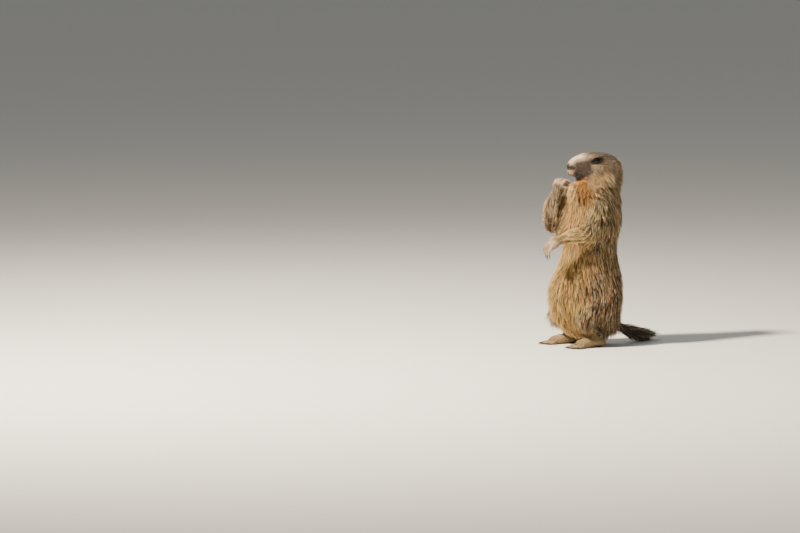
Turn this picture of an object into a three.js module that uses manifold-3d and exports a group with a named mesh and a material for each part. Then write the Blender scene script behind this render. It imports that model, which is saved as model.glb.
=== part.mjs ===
// A life-size alpine marmot that stands upright on its hind feet, with one hand raised to its mouth
// and the other forearm held level. Millimetres, +Z up. The animal faces -Y and its left side is +X.
// Every surface is the outline of the coat. The pieces are cut apart where a person would name them,
// and they all meet with the same narrow gap.
import * as THREE from "three";
import Module from "manifold-3d";
import { mergeVertices } from "three/addons/utils/BufferGeometryUtils.js";

const wasm = await Module();
wasm.setup();

// Driving dimensions
const CROWN_HEIGHT = 400; // floor to the top of the head
const HEAD_LENGTH = 120; // nose tip to the fur of the nape
const HEAD_TURN = -15; // degrees, so that the face looks a little to the animal's right
const HEAD_PIVOT = new THREE.Vector3(-1, 69.7, 350); // top of the neck
const NOSE_REACH = 96; // nose tip in front of the pivot
const EYE = { radius: 7.5, apart: 27.8, fromNose: 56, height: 382.5 };
const NOSE_PAD = { radii: [8.5, 6, 6.5], fromNose: 4.5, height: 369 };
const NOSTRIL = { radii: [2, 4, 1.8], apart: 5, fromNose: 0.5, height: 368 };
const EAR = { radii: [10, 4.2, 11.5], hollow: [6.8, 3.2, 8], apart: 37, fromNose: 97.5, height: 375.5 };
const THROAT_ROLL = { place: [-33, -5, 324], radii: [17, 11, 18] }; // pushed up by the raised arm
const GAP = 0.3; // between neighbouring pieces
const NECK_CUT = 303; // height of the cut between trunk and neck
const FINGER_RADIUS = 4.2;
const THUMB_RADIUS = 3.8;
const TOE_RADIUS = 3.9;
const HAND = { palm: 24, halfWidth: 16.5, fingers: 4, fingerLength: 21 };
const FOOT = { halfWidth: 18.5, toes: 5, toeLength: 21 };
const CLAW = { length: 10.5, radius: 1.9, drop: 2.2 };
const FLOOR_SINK = 30; // how far the cutting block for the floor reaches down

// Rows of height, front, back, half width: the side and front outlines of neck and trunk
const TORSO_ROWS = [
  [9, 12, 46, 15],
  [12, -14, 63, 31],
  [22, -38, 76, 46],
  [38, -55, 84, 58],
  [62, -69, 87, 69],
  [95, -77, 87, 75],
  [128, -73, 88, 75],
  [155, -61, 85, 70],
  [176, -51, 80, 65],
  [200, -43, 76, 62],
  [224, -40, 79, 63],
  [248, -37, 85, 65],
  [272, -32, 89, 64],
  [296, -28, 88, 60],
  [317, -31, 87, 56],
  [330, -28, 86, 54],
  [339, -11, 85, 51],
  [350, 12, 84, 48],
  [364, 20, 77, 37],
  [374, 30, 64, 20],
];

// Rows of distance from the nose tip, top, bottom, half width, height of the widest line
const HEAD_ROWS = [
  [0.6, 372, 361, 5, 367],
  [2.5, 378, 356.5, 11, 367],
  [7, 383.5, 352.5, 15, 366],
  [15, 389.5, 349.5, 18.5, 364],
  [26, 394.5, 346, 22.5, 362],
  [38, 398.5, 341, 28.5, 362],
  [50, 400, 335, 34.5, 362],
  [64, 400, 330, 40, 360],
  [78, 398.5, 325, 44, 356],
  [92, 395, 322, 45.5, 352],
  [104, 388, 322, 43, 350],
  [113, 377, 326, 34, 349],
  [HEAD_LENGTH - 1, 360, 340, 13, 350],
];

// The tail leaves the rump, comes down to the floor and lies along it, bent to the right
const TAIL_POINTS = [
  [0, 62, 50],
  [0, 92, 33],
  [-4, 124, 20],
  [-15, 158, 15],
  [-32, 192, 13],
];
const TAIL_RADII = [16, 20, 22, 20, 11];

// One set of joints for each side. side is +1 for the left and -1 for the right.
const SIDES = [
  {
    name: "left",
    side: 1,
    shoulder: [46, 8, 284],
    elbow: [61, -20, 238],
    wrist: [42, -82, 224],
    bow: [1, 0, 2],
    forearmRadii: [21, 20.5, 13],
    handForward: [-0.3, -0.82, -0.5],
    handUp: [0.1, -0.5, 0.86],
    curl: 26,
  },
  {
    name: "right",
    side: -1,
    shoulder: [-46, 6, 286],
    elbow: [-58, -38, 243],
    wrist: [-47, -33, 313],
    bow: [-3, -7, 0],
    forearmRadii: [21, 22, 16.5],
    handForward: [-0.05, 0.26, 0.96],
    handUp: [0.2, -0.93, 0.3],
    curl: 62,
  },
];

// The hind leg of the left side. The right one is its mirror image.
const HIP = [42, 36, 112];
const HAUNCH = [51, 4, 86];
const KNEE = [55, -34, 60];
const ANKLE = [46, 12, 26];
const HEEL = [45, 19];
const FOOT_LENGTH = 60; // heel to the roots of the toes
const FOOT_TURN = 7; // degrees outwards

// Colours of the coat's regions and of the bare parts
const finishes = {
  back_fur: { color: "#8d6d48", roughness: 0.92 },
  head_fur: { color: "#8a7763", roughness: 0.9 },
  chest_fur: { color: "#c08a52", roughness: 0.92 },
  limb_fur: { color: "#b18c5c", roughness: 0.92 },
  tail_fur: { color: "#5b4332", roughness: 0.92 },
  paw_skin: { color: "#6d594b", roughness: 0.7 },
  eye: { color: "#120d0a", roughness: 0.08 },
  nose: { color: "#2a2321", roughness: 0.5 },
  claw: { color: "#2b2420", roughness: 0.4 },
};
const materials = Object.fromEntries(
  Object.entries(finishes).map(([name, finish]) => [
    name,
    new THREE.MeshStandardMaterial({ ...finish, metalness: 0, name }),
  ]),
);

const vector = ([x, y, z]) => new THREE.Vector3(x, y, z);

// Catmull-Rom blend of the rows of a table, at row number t
function rowAt(rows, t) {
  const k = Math.min(Math.floor(t), rows.length - 2);
  const f = t - k;
  const pick = (i) => rows[THREE.MathUtils.clamp(i, 0, rows.length - 1)];
  const [a, b, c, d] = [pick(k - 1), pick(k), pick(k + 1), pick(k + 2)];
  return b.map((_, j) => {
    const slopeB = (c[j] - a[j]) / 2;
    const slopeC = (d[j] - b[j]) / 2;
    const rise = c[j] - b[j];
    const curve = (3 * rise - 2 * slopeB - slopeC) + (slopeB + slopeC - 2 * rise) * f;
    return b[j] + f * (slopeB + f * curve);
  });
}

// A closed skin over rings of points, with a fan at each end
function skinOver(rings) {
  const count = rings[0].length;
  const points = rings.flat();
  const faces = [];
  for (let r = 0; r + 1 < rings.length; r++) {
    for (let i = 0; i < count; i++) {
      const next = (i + 1) % count;
      const [a, b] = [r * count + i, r * count + next];
      faces.push(a, b, b + count, a, b + count, a + count);
    }
  }
  for (const [ring, turned] of [[0, true], [rings.length - 1, false]]) {
    const centre = new THREE.Vector3();
    rings[ring].forEach((p) => centre.addScaledVector(p, 1 / count));
    points.push(centre);
    for (let i = 0; i < count; i++) {
      const pair = [ring * count + i, ring * count + ((i + 1) % count)];
      faces.push(points.length - 1, ...(turned ? pair.reverse() : pair));
    }
  }
  return new THREE.BufferGeometry().setFromPoints(points).setIndex(faces);
}

// One ring as a superellipse: halves are along +across, and along -depth and +depth
function ringAt(centre, across, depth, half, minus, plus, sides, squareness = 2) {
  const power = 2 / squareness;
  return Array.from({ length: sides }, (_, i) => {
    const angle = (2 * Math.PI * (i + 0.5)) / sides;
    const bend = (v) => Math.sign(v) * Math.abs(v) ** power;
    const [u, v] = [bend(Math.cos(angle)), bend(Math.sin(angle))];
    return centre
      .clone()
      .addScaledVector(across, u * half)
      .addScaledVector(depth, v * (v < 0 ? minus : plus));
  });
}

// A round-ended limb along points. wide and thick scale its section across and through.
function limb(points, radii, { sides = 12, steps = 8, wide = 1, thick = 1, hint = [0, 0, 1], grow = 0, caps = 3 }) {
  const curve = new THREE.CatmullRomCurve3(points.map((p) => (p.isVector3 ? p : vector(p))));
  const radiusAt = (t) => rowAt(radii.map((r) => [r]), t * (radii.length - 1))[0] + grow;
  const rings = [];
  const add = (centre, tangent, radius) => {
    const across = new THREE.Vector3().crossVectors(vector(hint), tangent).normalize();
    const depth = new THREE.Vector3().crossVectors(tangent, across);
    const through = radius * thick;
    rings.push(ringAt(centre, across, depth, radius * wide, through, through, sides));
  };
  for (const end of [0, 1]) {
    const tangent = curve.getTangentAt(end);
    const radius = radiusAt(end);
    const reach = radius * Math.min(wide, thick);
    const cap = (k) => {
      const angle = (Math.PI / 2) * (1 - k / caps) * 0.9;
      const out = (end ? 1 : -1) * Math.sin(angle) * reach;
      const centre = curve.getPointAt(end).addScaledVector(tangent, out);
      add(centre, tangent, radius * Math.cos(angle));
    };
    if (end === 0) {
      for (let k = 0; k < caps; k++) cap(k);
      for (let k = 0; k <= steps; k++) {
        const t = k / steps;
        add(curve.getPointAt(t), curve.getTangentAt(t), radiusAt(t));
      }
    } else {
      for (let k = caps - 1; k >= 0; k--) cap(k);
    }
  }
  return skinOver(rings);
}

function ellipsoid(centre, radii, grow = 0, turn = [0, 0, 0], detail = [8, 6]) {
  return new THREE.SphereGeometry(1, ...detail)
    .scale(...radii.map((r) => r + grow))
    .applyMatrix4(new THREE.Matrix4().makeRotationFromEuler(new THREE.Euler(...turn)))
    .translate(...centre);
}

// A closed geometry as a solid that can be joined and cut
function solidOf(geometry, matrix) {
  const bare = geometry.clone();
  bare.deleteAttribute("normal");
  bare.deleteAttribute("uv");
  if (matrix) bare.applyMatrix4(matrix);
  const merged = mergeVertices(bare, 1e-4);
  return new wasm.Manifold(
    new wasm.Mesh({
      numProp: 3,
      vertProperties: new Float32Array(merged.attributes.position.array),
      triVerts: new Uint32Array(merged.index.array),
    }),
  );
}

const joined = (solids) => solids.reduce((all, one) => all.add(one));

// The largest separate piece of a solid, so that a cut leaves no crumbs
function largest(solid) {
  return solid.decompose().reduce((a, b) => (a.volume() > b.volume() ? a : b));
}

// Neck and trunk in one, as a stack of level sections
function torso(grow = 0) {
  const rings = [];
  const count = 18;
  const sides = 18;
  for (let i = 0; i <= count; i++) {
    const t = (i / count) * (TORSO_ROWS.length - 1);
    const [height, front, back, half] = rowAt(TORSO_ROWS, t);
    const reach = (back - front) / 2 + grow;
    const centre = new THREE.Vector3(0, (front + back) / 2, height);
    const [across, depth] = [new THREE.Vector3(1, 0, 0), new THREE.Vector3(0, 1, 0)];
    rings.push(ringAt(centre, across, depth, half + grow, reach, reach, sides, 2.15));
  }
  return solidOf(skinOver(rings));
}

// A wide block between two heights, which cuts neck and trunk apart
const layer = (from, to) =>
  solidOf(new THREE.BoxGeometry(CROWN_HEIGHT, CROWN_HEIGHT, to - from).translate(0, 0, (from + to) / 2));

// A place in the head's own frame, from a distance behind the nose tip and a height over the floor
const onHead = (x, fromNose, height) => [x, fromNose - NOSE_REACH, height - HEAD_PIVOT.z];

const headMatrix = new THREE.Matrix4()
  .makeRotationZ(THREE.MathUtils.degToRad(HEAD_TURN))
  .setPosition(HEAD_PIVOT);

function skull(grow) {
  const rings = [];
  const count = 15;
  for (let i = 0; i <= count; i++) {
    const t = (i / count) * (HEAD_ROWS.length - 1);
    const [fromNose, top, bottom, half, widest] = rowAt(HEAD_ROWS, t);
    const centre = vector(onHead(0, fromNose, widest));
    const [across, up] = [new THREE.Vector3(-1, 0, 0), new THREE.Vector3(0, 0, 1)];
    rings.push(ringAt(centre, across, up, half + grow, widest - bottom + grow, top - widest + grow, 16, 2.2));
  }
  return skinOver(rings);
}

// Skull, whisker pads, brows, cheeks and lower jaw in the head's own frame
function headSolid(grow = 0) {
  const jawPoints = [onHead(0, 66, 344), onHead(0, 44, 342), onHead(0, 25, 344)];
  const jaw = limb(jawPoints, [18, 13, 7.5], { sides: 8, steps: 2, caps: 2, wide: 1.25, grow });
  const pieces = [skull(grow), jaw];
  for (const side of [1, -1]) {
    pieces.push(ellipsoid(onHead(side * 8.5, 13, 358), [10.5, 12, 9.5], grow));
    pieces.push(ellipsoid(onHead(side * 24, 56, 389.5), [9, 15, 5.5], grow, [0, side * 0.5, side * 0.15]));
    pieces.push(ellipsoid(onHead(side * 27, 68, 352), [15, 24, 18], grow));
  }
  return joined(pieces.map((g) => solidOf(g)));
}

const placeOf = ({ apart = 0, fromNose, height }, side = 1) => onHead(side * apart, fromNose, height);
const eyeSolid = (side, grow = 0) =>
  solidOf(new THREE.SphereGeometry(EYE.radius + grow, 10, 6).translate(...placeOf(EYE, side)));

// The bare nose pad with its two nostrils
function noseSolid(grow = 0) {
  const pad = solidOf(ellipsoid(placeOf(NOSE_PAD), NOSE_PAD.radii, grow));
  if (grow) return pad;
  const nostrils = [1, -1].map((side) =>
    solidOf(ellipsoid(placeOf(NOSTRIL, side), NOSTRIL.radii, 0, [0, side * 0.6, 0], [6, 4])),
  );
  return pad.subtract(joined(nostrils));
}

// A small round ear: a thick disc, hollowed on the side that faces forwards and out
function earSolid(side, grow = 0) {
  const place = placeOf(EAR, side);
  const turn = [0.25, side * 0.25, side * 0.75];
  const disc = solidOf(ellipsoid(place, EAR.radii, grow, turn, [10, 6]));
  if (grow) return disc;
  const out = new THREE.Vector3(0, -EAR.radii[1], 1.5).applyEuler(new THREE.Euler(...turn));
  const hollowPlace = vector(place).add(out).toArray();
  return disc.subtract(solidOf(ellipsoid(hollowPlace, EAR.hollow, 0, turn)));
}

// Bends a digit's points down by curl degrees a joint, from its root
function digitPoints(root, spread, length, curl, joints = 3) {
  const points = [root.clone()];
  let angle = 0;
  const step = length / joints;
  for (let i = 0; i < joints; i++) {
    angle += THREE.MathUtils.degToRad(curl) * (i ? 1 : 0.5);
    const ahead = new THREE.Vector3(
      Math.sin(spread) * Math.cos(angle),
      -Math.cos(spread) * Math.cos(angle),
      -Math.sin(angle),
    );
    points.push(points.at(-1).clone().addScaledVector(ahead, step));
  }
  return points;
}

// A claw from a digit's tip, bent down towards its point
function clawSolid({ tip, ahead }, grow) {
  const points = [-0.35, 0.3, 1].map((t) =>
    tip.clone().addScaledVector(ahead, t * CLAW.length).add(new THREE.Vector3(0, 0, -CLAW.drop * t * t)),
  );
  const radii = [1, 0.9, 0.2].map((share) => share * CLAW.radius);
  const shape = { sides: 4, steps: 2, caps: 0, thick: 1.15, wide: 0.85, hint: [0.02, 0, 1] };
  return solidOf(limb(points, radii, { ...shape, grow }));
}

// The digits of a hand or foot, each as its points, its tip and the way its claw points
function digits({ count, halfWidth, rootY, rootZ, length, curl }) {
  return Array.from({ length: count }, (_, i) => {
    const across = (2 * i) / (count - 1) - 1;
    const arch = 1 - 0.3 * across * across;
    const x = across * (halfWidth - 3.5);
    const root = new THREE.Vector3(x, rootY - 3 * (1 - arch), rootZ);
    const points = digitPoints(root, across * 0.16, length * arch, curl);
    const ahead = points.at(-1).clone().sub(points.at(-2)).normalize();
    return { points, tip: points.at(-1), ahead };
  });
}

const handDigits = ({ curl }) =>
  digits({
    count: HAND.fingers,
    halfWidth: HAND.halfWidth,
    rootY: -HAND.palm,
    rootZ: 0,
    length: HAND.fingerLength,
    curl,
  });

// A hand in its own frame: wrist at the origin, fingers along -Y, palm down, thumb towards -side
function handMatrix({ wrist, handForward, handUp }) {
  const back = vector(handForward).normalize().negate();
  const across = new THREE.Vector3().crossVectors(back, vector(handUp)).normalize();
  const up = new THREE.Vector3().crossVectors(across, back);
  return new THREE.Matrix4().makeBasis(across, back, up).setPosition(vector(wrist));
}

function handSolid(arm, grow = 0) {
  const bend = -Math.tan(THREE.MathUtils.degToRad(arm.curl * 0.35));
  const palmPoints = [[0, 3, 0], [0, -HAND.palm * 0.5, 1], [0, -HAND.palm, bend * 2]];
  const palm = limb(palmPoints, [10, 12, 11], { sides: 8, steps: 3, caps: 2, wide: 1.35, thick: 0.9, grow });
  const fingers = handDigits(arm).map(({ points }) => {
    const radii = [FINGER_RADIUS * 1.08, FINGER_RADIUS, FINGER_RADIUS * 0.85, FINGER_RADIUS * 0.8];
    return limb(points, radii, { sides: 5, steps: 3, caps: 1, grow });
  });
  const thumbPoints = [[-arm.side * 10, -8, -3], [-arm.side * 14, -14, -5.5]];
  const thumb = limb(thumbPoints, [THUMB_RADIUS, THUMB_RADIUS * 0.75], { sides: 5, steps: 1, caps: 1, grow });
  return joined([palm, thumb, ...fingers].map((g) => solidOf(g)));
}

// A foot in its own frame: heel at the origin, toes along -Y, sole at height 0
const footDigits = digits({
  count: FOOT.toes,
  halfWidth: FOOT.halfWidth,
  rootY: -FOOT_LENGTH,
  rootZ: TOE_RADIUS - 0.4,
  length: FOOT.toeLength,
  curl: 4,
});

const footMatrix = (side) =>
  new THREE.Matrix4()
    .makeRotationZ(THREE.MathUtils.degToRad(side * FOOT_TURN))
    .setPosition(side * HEEL[0], HEEL[1], 0);

// Everything above the floor. What rests on it is cut to a flat here.
const aboveFloor = solidOf(
  new THREE.BoxGeometry(2 * CROWN_HEIGHT, 2 * CROWN_HEIGHT, 2 * CROWN_HEIGHT).translate(0, 0, CROWN_HEIGHT),
);

function footSolid(grow = 0) {
  const soleRows = [[0, -4, 10.4], [0, -26, 10.2], [0, -46, 8], [0, 3 - FOOT_LENGTH, 5.5]];
  const sole = limb(soleRows, [12, 12, 12.5, 12.5], { sides: 8, steps: 3, caps: 2, wide: 1.15, thick: 0.95, grow });
  const toes = footDigits.map(({ points }) => {
    const radii = [TOE_RADIUS * 1.1, TOE_RADIUS, TOE_RADIUS * 0.95, TOE_RADIUS * 0.85];
    return limb(points, radii, { sides: 5, steps: 2, caps: 1, grow });
  });
  const whole = joined([sole, ...toes].map((g) => solidOf(g)));
  return grow ? whole : whole.intersect(aboveFloor);
}

// The toes' claws leave them nearly level
const footClaw = ({ tip, ahead }, grow) =>
  clawSolid({ tip, ahead: new THREE.Vector3(ahead.x, ahead.y, 0.06).normalize() }, grow);

const mirrored = ([x, y, z], side) => [x * side, y, z];

const thighSolid = (side, grow = 0) =>
  solidOf(
    limb([HIP, HAUNCH, KNEE].map((p) => mirrored(p, side)), [44, 43, 27], {
      sides: 12,
      steps: 5,
      thick: 1.05,
      wide: 0.78,
      grow,
    }),
  );

const shankSolid = (side, grow = 0) =>
  solidOf(
    limb([mirrored(KNEE, side), mirrored([52, -10, 42], side), mirrored(ANKLE, side)], [18, 17, 14], {
      sides: 8,
      steps: 3,
      caps: 2,
      hint: [1, 0, 0],
      grow,
    }),
  );

const between = (a, b, t, lift = [0, 0, 0]) =>
  vector(a).lerp(vector(b), t).add(vector(lift)).toArray();

const upperArmSolid = (arm, grow = 0) =>
  solidOf(
    limb([arm.shoulder, between(arm.shoulder, arm.elbow, 0.5, [arm.side * 4, 2, 0]), arm.elbow], [27, 26, 21], {
      sides: 8,
      steps: 3,
      hint: [0, 1, 0],
      grow,
    }),
  );

const forearmSolid = (arm, grow = 0) =>
  solidOf(
    limb([arm.elbow, between(arm.elbow, arm.wrist, 0.45, arm.bow), arm.wrist], arm.forearmRadii, {
      sides: 9,
      steps: 4,
      hint: [arm.side, 0.2, 0.1],
      grow,
    }),
  );

const tailSolid = (grow = 0) => {
  const whole = solidOf(limb(TAIL_POINTS, TAIL_RADII, { sides: 10, steps: 7, thick: 0.85, wide: 1.05, grow }));
  return grow ? whole : whole.intersect(aboveFloor);
};

// Every piece, hardest first. Each one is cut back by the pieces before it that it touches.
const made = [];

function geometryOf(solid) {
  const mesh = solid.getMesh();
  return new THREE.BufferGeometry()
    .setAttribute("position", new THREE.BufferAttribute(mesh.vertProperties, 3))
    .setIndex(new THREE.BufferAttribute(mesh.triVerts, 1));
}

// Keeps a piece and its grown copy, both moved from their own frame to the whole animal's
function addPiece(name, material, build, { matrix, group } = {}) {
  const place = (solid) => (matrix ? solidOf(geometryOf(solid), matrix) : solid);
  made.push({ name, material, group, own: place(build(0)), grown: place(build(GAP)) });
}

for (const { name, side } of SIDES) {
  addPiece(`eye_${name}`, "eye", (grow) => eyeSolid(side, grow), { matrix: headMatrix, group: "head" });
}
addPiece("nose", "nose", noseSolid, { matrix: headMatrix, group: "head" });
for (const arm of SIDES) {
  handDigits(arm).forEach((digit, i) => {
    const options = { matrix: handMatrix(arm) };
    addPiece(`claw_hand_${arm.name}_${i + 1}`, "claw", (grow) => clawSolid(digit, grow), options);
  });
}
for (const { name, side } of SIDES) {
  footDigits.forEach((digit, i) => {
    const options = { matrix: footMatrix(side) };
    addPiece(`claw_foot_${name}_${i + 1}`, "claw", (grow) => footClaw(digit, grow), options);
  });
}
addPiece("head", "head_fur", headSolid, { matrix: headMatrix, group: "head" });
for (const { name, side } of SIDES) {
  addPiece(`ear_${name}`, "head_fur", (grow) => earSolid(side, grow), { matrix: headMatrix, group: "head" });
}
addPiece("neck", "chest_fur", (grow) => {
  const roll = solidOf(ellipsoid(THROAT_ROLL.place, THROAT_ROLL.radii, grow));
  return torso(grow).add(roll).intersect(layer(NECK_CUT + GAP / 2 - grow, CROWN_HEIGHT));
});
addPiece("trunk", "back_fur", (grow) => torso(grow).intersect(layer(-FLOOR_SINK, NECK_CUT - GAP / 2)));

for (const arm of SIDES) {
  const { name, side } = arm;
  addPiece(`hand_${name}`, "paw_skin", (grow) => handSolid(arm, grow), { matrix: handMatrix(arm) });
  addPiece(`foot_${name}`, "paw_skin", footSolid, { matrix: footMatrix(side) });
  addPiece(`forearm_${name}`, "limb_fur", (grow) => forearmSolid(arm, grow));
  addPiece(`upper_arm_${name}`, "limb_fur", (grow) => upperArmSolid(arm, grow));
  addPiece(`thigh_${name}`, "back_fur", (grow) => thighSolid(side, grow));
  addPiece(`shank_${name}`, "limb_fur", (grow) => shankSolid(side, grow));
}
addPiece("tail", "tail_fur", tailSolid);

// Cuts each piece back by the ones before it
function finished(piece, index) {
  let solid = piece.own;
  for (const other of made.slice(0, index)) {
    const touches = solid.intersect(other.grown).volume() > 0;
    if (touches) solid = solid.subtract(other.grown);
  }
  return largest(solid);
}
const solids = made.map(finished);

// The origin is the middle of the animal's box, on the floor
const box = new THREE.Box3();
solids.forEach((solid) => {
  const { min, max } = solid.boundingBox();
  box.union(new THREE.Box3(vector(min), vector(max)));
});
const middle = box.getCenter(new THREE.Vector3());

const marmot = new THREE.Group();
marmot.name = "alpine_marmot";
marmot.position.set(-middle.x, -middle.y, -box.min.z);
const headGroup = new THREE.Group();
headGroup.position.copy(HEAD_PIVOT);
headGroup.rotation.z = THREE.MathUtils.degToRad(HEAD_TURN);
marmot.add(headGroup);

made.forEach(({ name, material, group }, index) => {
  const inHead = group === "head";
  const geometry = geometryOf(solids[index]);
  if (inHead) geometry.applyMatrix4(headMatrix.clone().invert());
  geometry.computeBoundingBox();
  const pivot = geometry.boundingBox.getCenter(new THREE.Vector3());
  geometry.translate(-pivot.x, -pivot.y, -pivot.z);
  geometry.computeVertexNormals();
  const mesh = new THREE.Mesh(geometry, materials[material]);
  mesh.name = name;
  mesh.position.copy(pivot);
  (inHead ? headGroup : marmot).add(mesh);
});

export default marmot;
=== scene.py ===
"""An alpine marmot that stands upright, as a still museum model with a solid coat."""

import logging
import math
from collections.abc import Iterable
from dataclasses import dataclass, field
from enum import Enum

import bmesh
import bpy
import numpy as np
from mathutils import Matrix, Vector
from mathutils.bvhtree import BVHTree
from mathutils.kdtree import KDTree


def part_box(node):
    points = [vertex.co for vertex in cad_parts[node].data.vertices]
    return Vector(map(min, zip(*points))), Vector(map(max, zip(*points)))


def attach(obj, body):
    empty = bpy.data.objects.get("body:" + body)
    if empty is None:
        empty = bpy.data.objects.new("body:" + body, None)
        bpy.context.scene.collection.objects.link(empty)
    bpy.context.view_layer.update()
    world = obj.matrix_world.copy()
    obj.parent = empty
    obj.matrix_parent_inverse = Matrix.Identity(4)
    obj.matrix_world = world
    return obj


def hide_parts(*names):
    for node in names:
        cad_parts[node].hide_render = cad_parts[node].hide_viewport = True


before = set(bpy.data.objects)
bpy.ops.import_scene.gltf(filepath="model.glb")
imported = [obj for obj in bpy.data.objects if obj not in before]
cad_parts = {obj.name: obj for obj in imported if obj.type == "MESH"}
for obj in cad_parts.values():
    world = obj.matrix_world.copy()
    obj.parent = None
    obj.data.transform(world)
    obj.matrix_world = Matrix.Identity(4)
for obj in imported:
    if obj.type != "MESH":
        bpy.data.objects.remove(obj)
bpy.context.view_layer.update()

log = logging.getLogger("marmot")
Array = np.ndarray

MM = 0.001
SEED = 41
SIDES = ("left", "right")
FUR_COLOUR = "fur_colour"

# The photograph's frame, and where the middle of the nose pad stands in it
PHOTO_SIZE = (800, 533)
NOSE_PIXEL = (569.2, 166.9)
PIXEL_SIZE = 2.07 * MM
CAMERA_AZIMUTH = 60.0
CAMERA_ELEVATION = 5.0


def linear(code: str) -> Array:
    """Turns an sRGB hex colour into linear light.

    Args:
        code: six hex digits after a hash sign.

    Returns:
        Red, green and blue from 0 to 1.
    """
    srgb = np.array([int(code[i : i + 2], 16) for i in (1, 3, 5)]) / 255
    return np.where(srgb <= 0.04045, srgb / 12.92, ((srgb + 0.055) / 1.055) ** 2.4)


def smooth(value: Array, start: float, end: float) -> Array:
    """Rises smoothly from 0 to 1 as value goes from start to end.

    Args:
        value: numbers to look up.
        start: where the rise starts; it may be above end, and then it falls.
        end: where the rise ends.

    Returns:
        Numbers from 0 to 1.
    """
    t = np.clip((value - start) / (end - start), 0, 1)
    return t * t * (3 - 2 * t)


def unit(vectors: Array) -> Array:
    """Returns vectors scaled to a length of 1."""
    return vectors / np.maximum(np.linalg.norm(vectors, axis=-1, keepdims=True), 1e-12)


def mix(first: Array, second: Array, share: Array | float) -> Array:
    """Blends two sets of colours, row by row.

    Args:
        first: the colour where the share is 0, as one row or many.
        second: the colour where the share is 1, as one row or many.
        share: one number for each row, or one for all.

    Returns:
        The blended rows.
    """
    return first + (second - first) * np.reshape(share, (-1, 1))


def distance_to(points: Array, spots: Iterable[Array]) -> Array:
    """Returns each point's distance to the nearest of some spots, in millimetres."""
    return np.min([np.linalg.norm(points - spot, axis=1) for spot in spots], axis=0) / MM


class Part(Enum):
    """The named parts of the flesh. Each has a coat of its own."""

    HEAD = "head"
    EAR = "ear"
    NECK = "neck"
    TRUNK = "trunk"
    TAIL = "tail"
    UPPER_ARM = "upper_arm"
    FOREARM = "forearm"
    HAND = "hand"
    THIGH = "thigh"
    SHANK = "shank"
    FOOT = "foot"


@dataclass(frozen=True)
class Coat:
    """The coat of one part, in millimetres, and how strongly its tips gather in locks."""

    depth: float
    length: float
    gather: float
    smoothing: float


COATS = {
    Part.HEAD: Coat(depth=5.0, length=13, gather=0.3, smoothing=0.12),
    Part.EAR: Coat(depth=0.4, length=3.5, gather=0.1, smoothing=0.02),
    Part.NECK: Coat(depth=9, length=27, gather=0.7, smoothing=1),
    Part.TRUNK: Coat(depth=11, length=30, gather=0.72, smoothing=1),
    Part.TAIL: Coat(depth=9, length=34, gather=0.5, smoothing=0.8),
    Part.UPPER_ARM: Coat(depth=9, length=26, gather=0.68, smoothing=1),
    Part.FOREARM: Coat(depth=6.5, length=20, gather=0.5, smoothing=0.7),
    Part.HAND: Coat(depth=0.9, length=3.4, gather=0.2, smoothing=0.03),
    Part.THIGH: Coat(depth=11, length=30, gather=0.72, smoothing=1),
    Part.SHANK: Coat(depth=6, length=17, gather=0.4, smoothing=0.8),
    Part.FOOT: Coat(depth=0.9, length=4.2, gather=0.2, smoothing=0.03),
}


def points_of(node: str) -> Array:
    """Returns the vertices of one CAD node as rows."""
    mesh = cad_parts[node].data
    rows = np.empty(len(mesh.vertices) * 3, np.float32)
    mesh.vertices.foreach_get("co", rows)
    return rows.reshape(-1, 3).astype(float)


def middle_of(node: str) -> Array:
    """Returns the middle of one CAD node's box."""
    low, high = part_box(node)
    return (np.array(low) + np.array(high)) / 2


def part_of(node: str) -> Part | None:
    """Returns the part that a node belongs to, or None for an eye, the nose or a claw."""
    stem = node.removesuffix("_left").removesuffix("_right")
    return Part(stem) if stem in {part.value for part in Part} else None


def claw_roots(row: list[str]) -> Array:
    """Returns where each claw of a hand or foot starts, as rows."""
    return np.array([measured_claw(node)[0] for node in row])


def measured_claw(node: str) -> tuple[Array, Array, float]:
    """Measures a CAD claw.

    Args:
        node: the claw's node.

    Returns:
        Its root, its tip and its radius at the root.
    """
    rows = points_of(node)
    centre = rows.mean(axis=0)
    axis = np.linalg.svd(rows - centre, full_matrices=False)[2][0]
    along = (rows - centre) @ axis
    low = rows[along < along.min() + 0.1 * np.ptp(along)]
    high = rows[along > along.max() - 0.1 * np.ptp(along)]
    thick, thin = sorted((low, high), key=lambda end: -np.ptp(end, axis=0).max())
    root = thick.mean(axis=0)
    return root, thin.mean(axis=0), float(np.linalg.norm(thick - root, axis=1).max()) * 0.9


FLESH = sorted(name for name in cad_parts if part_of(name))
DIGITS = {"hand": 4, "foot": 5}
CLAW_ROWS = [
    [f"claw_{limb}_{side}_{number}" for number in range(1, count + 1)]
    for limb, count in DIGITS.items()
    for side in SIDES
]


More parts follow.
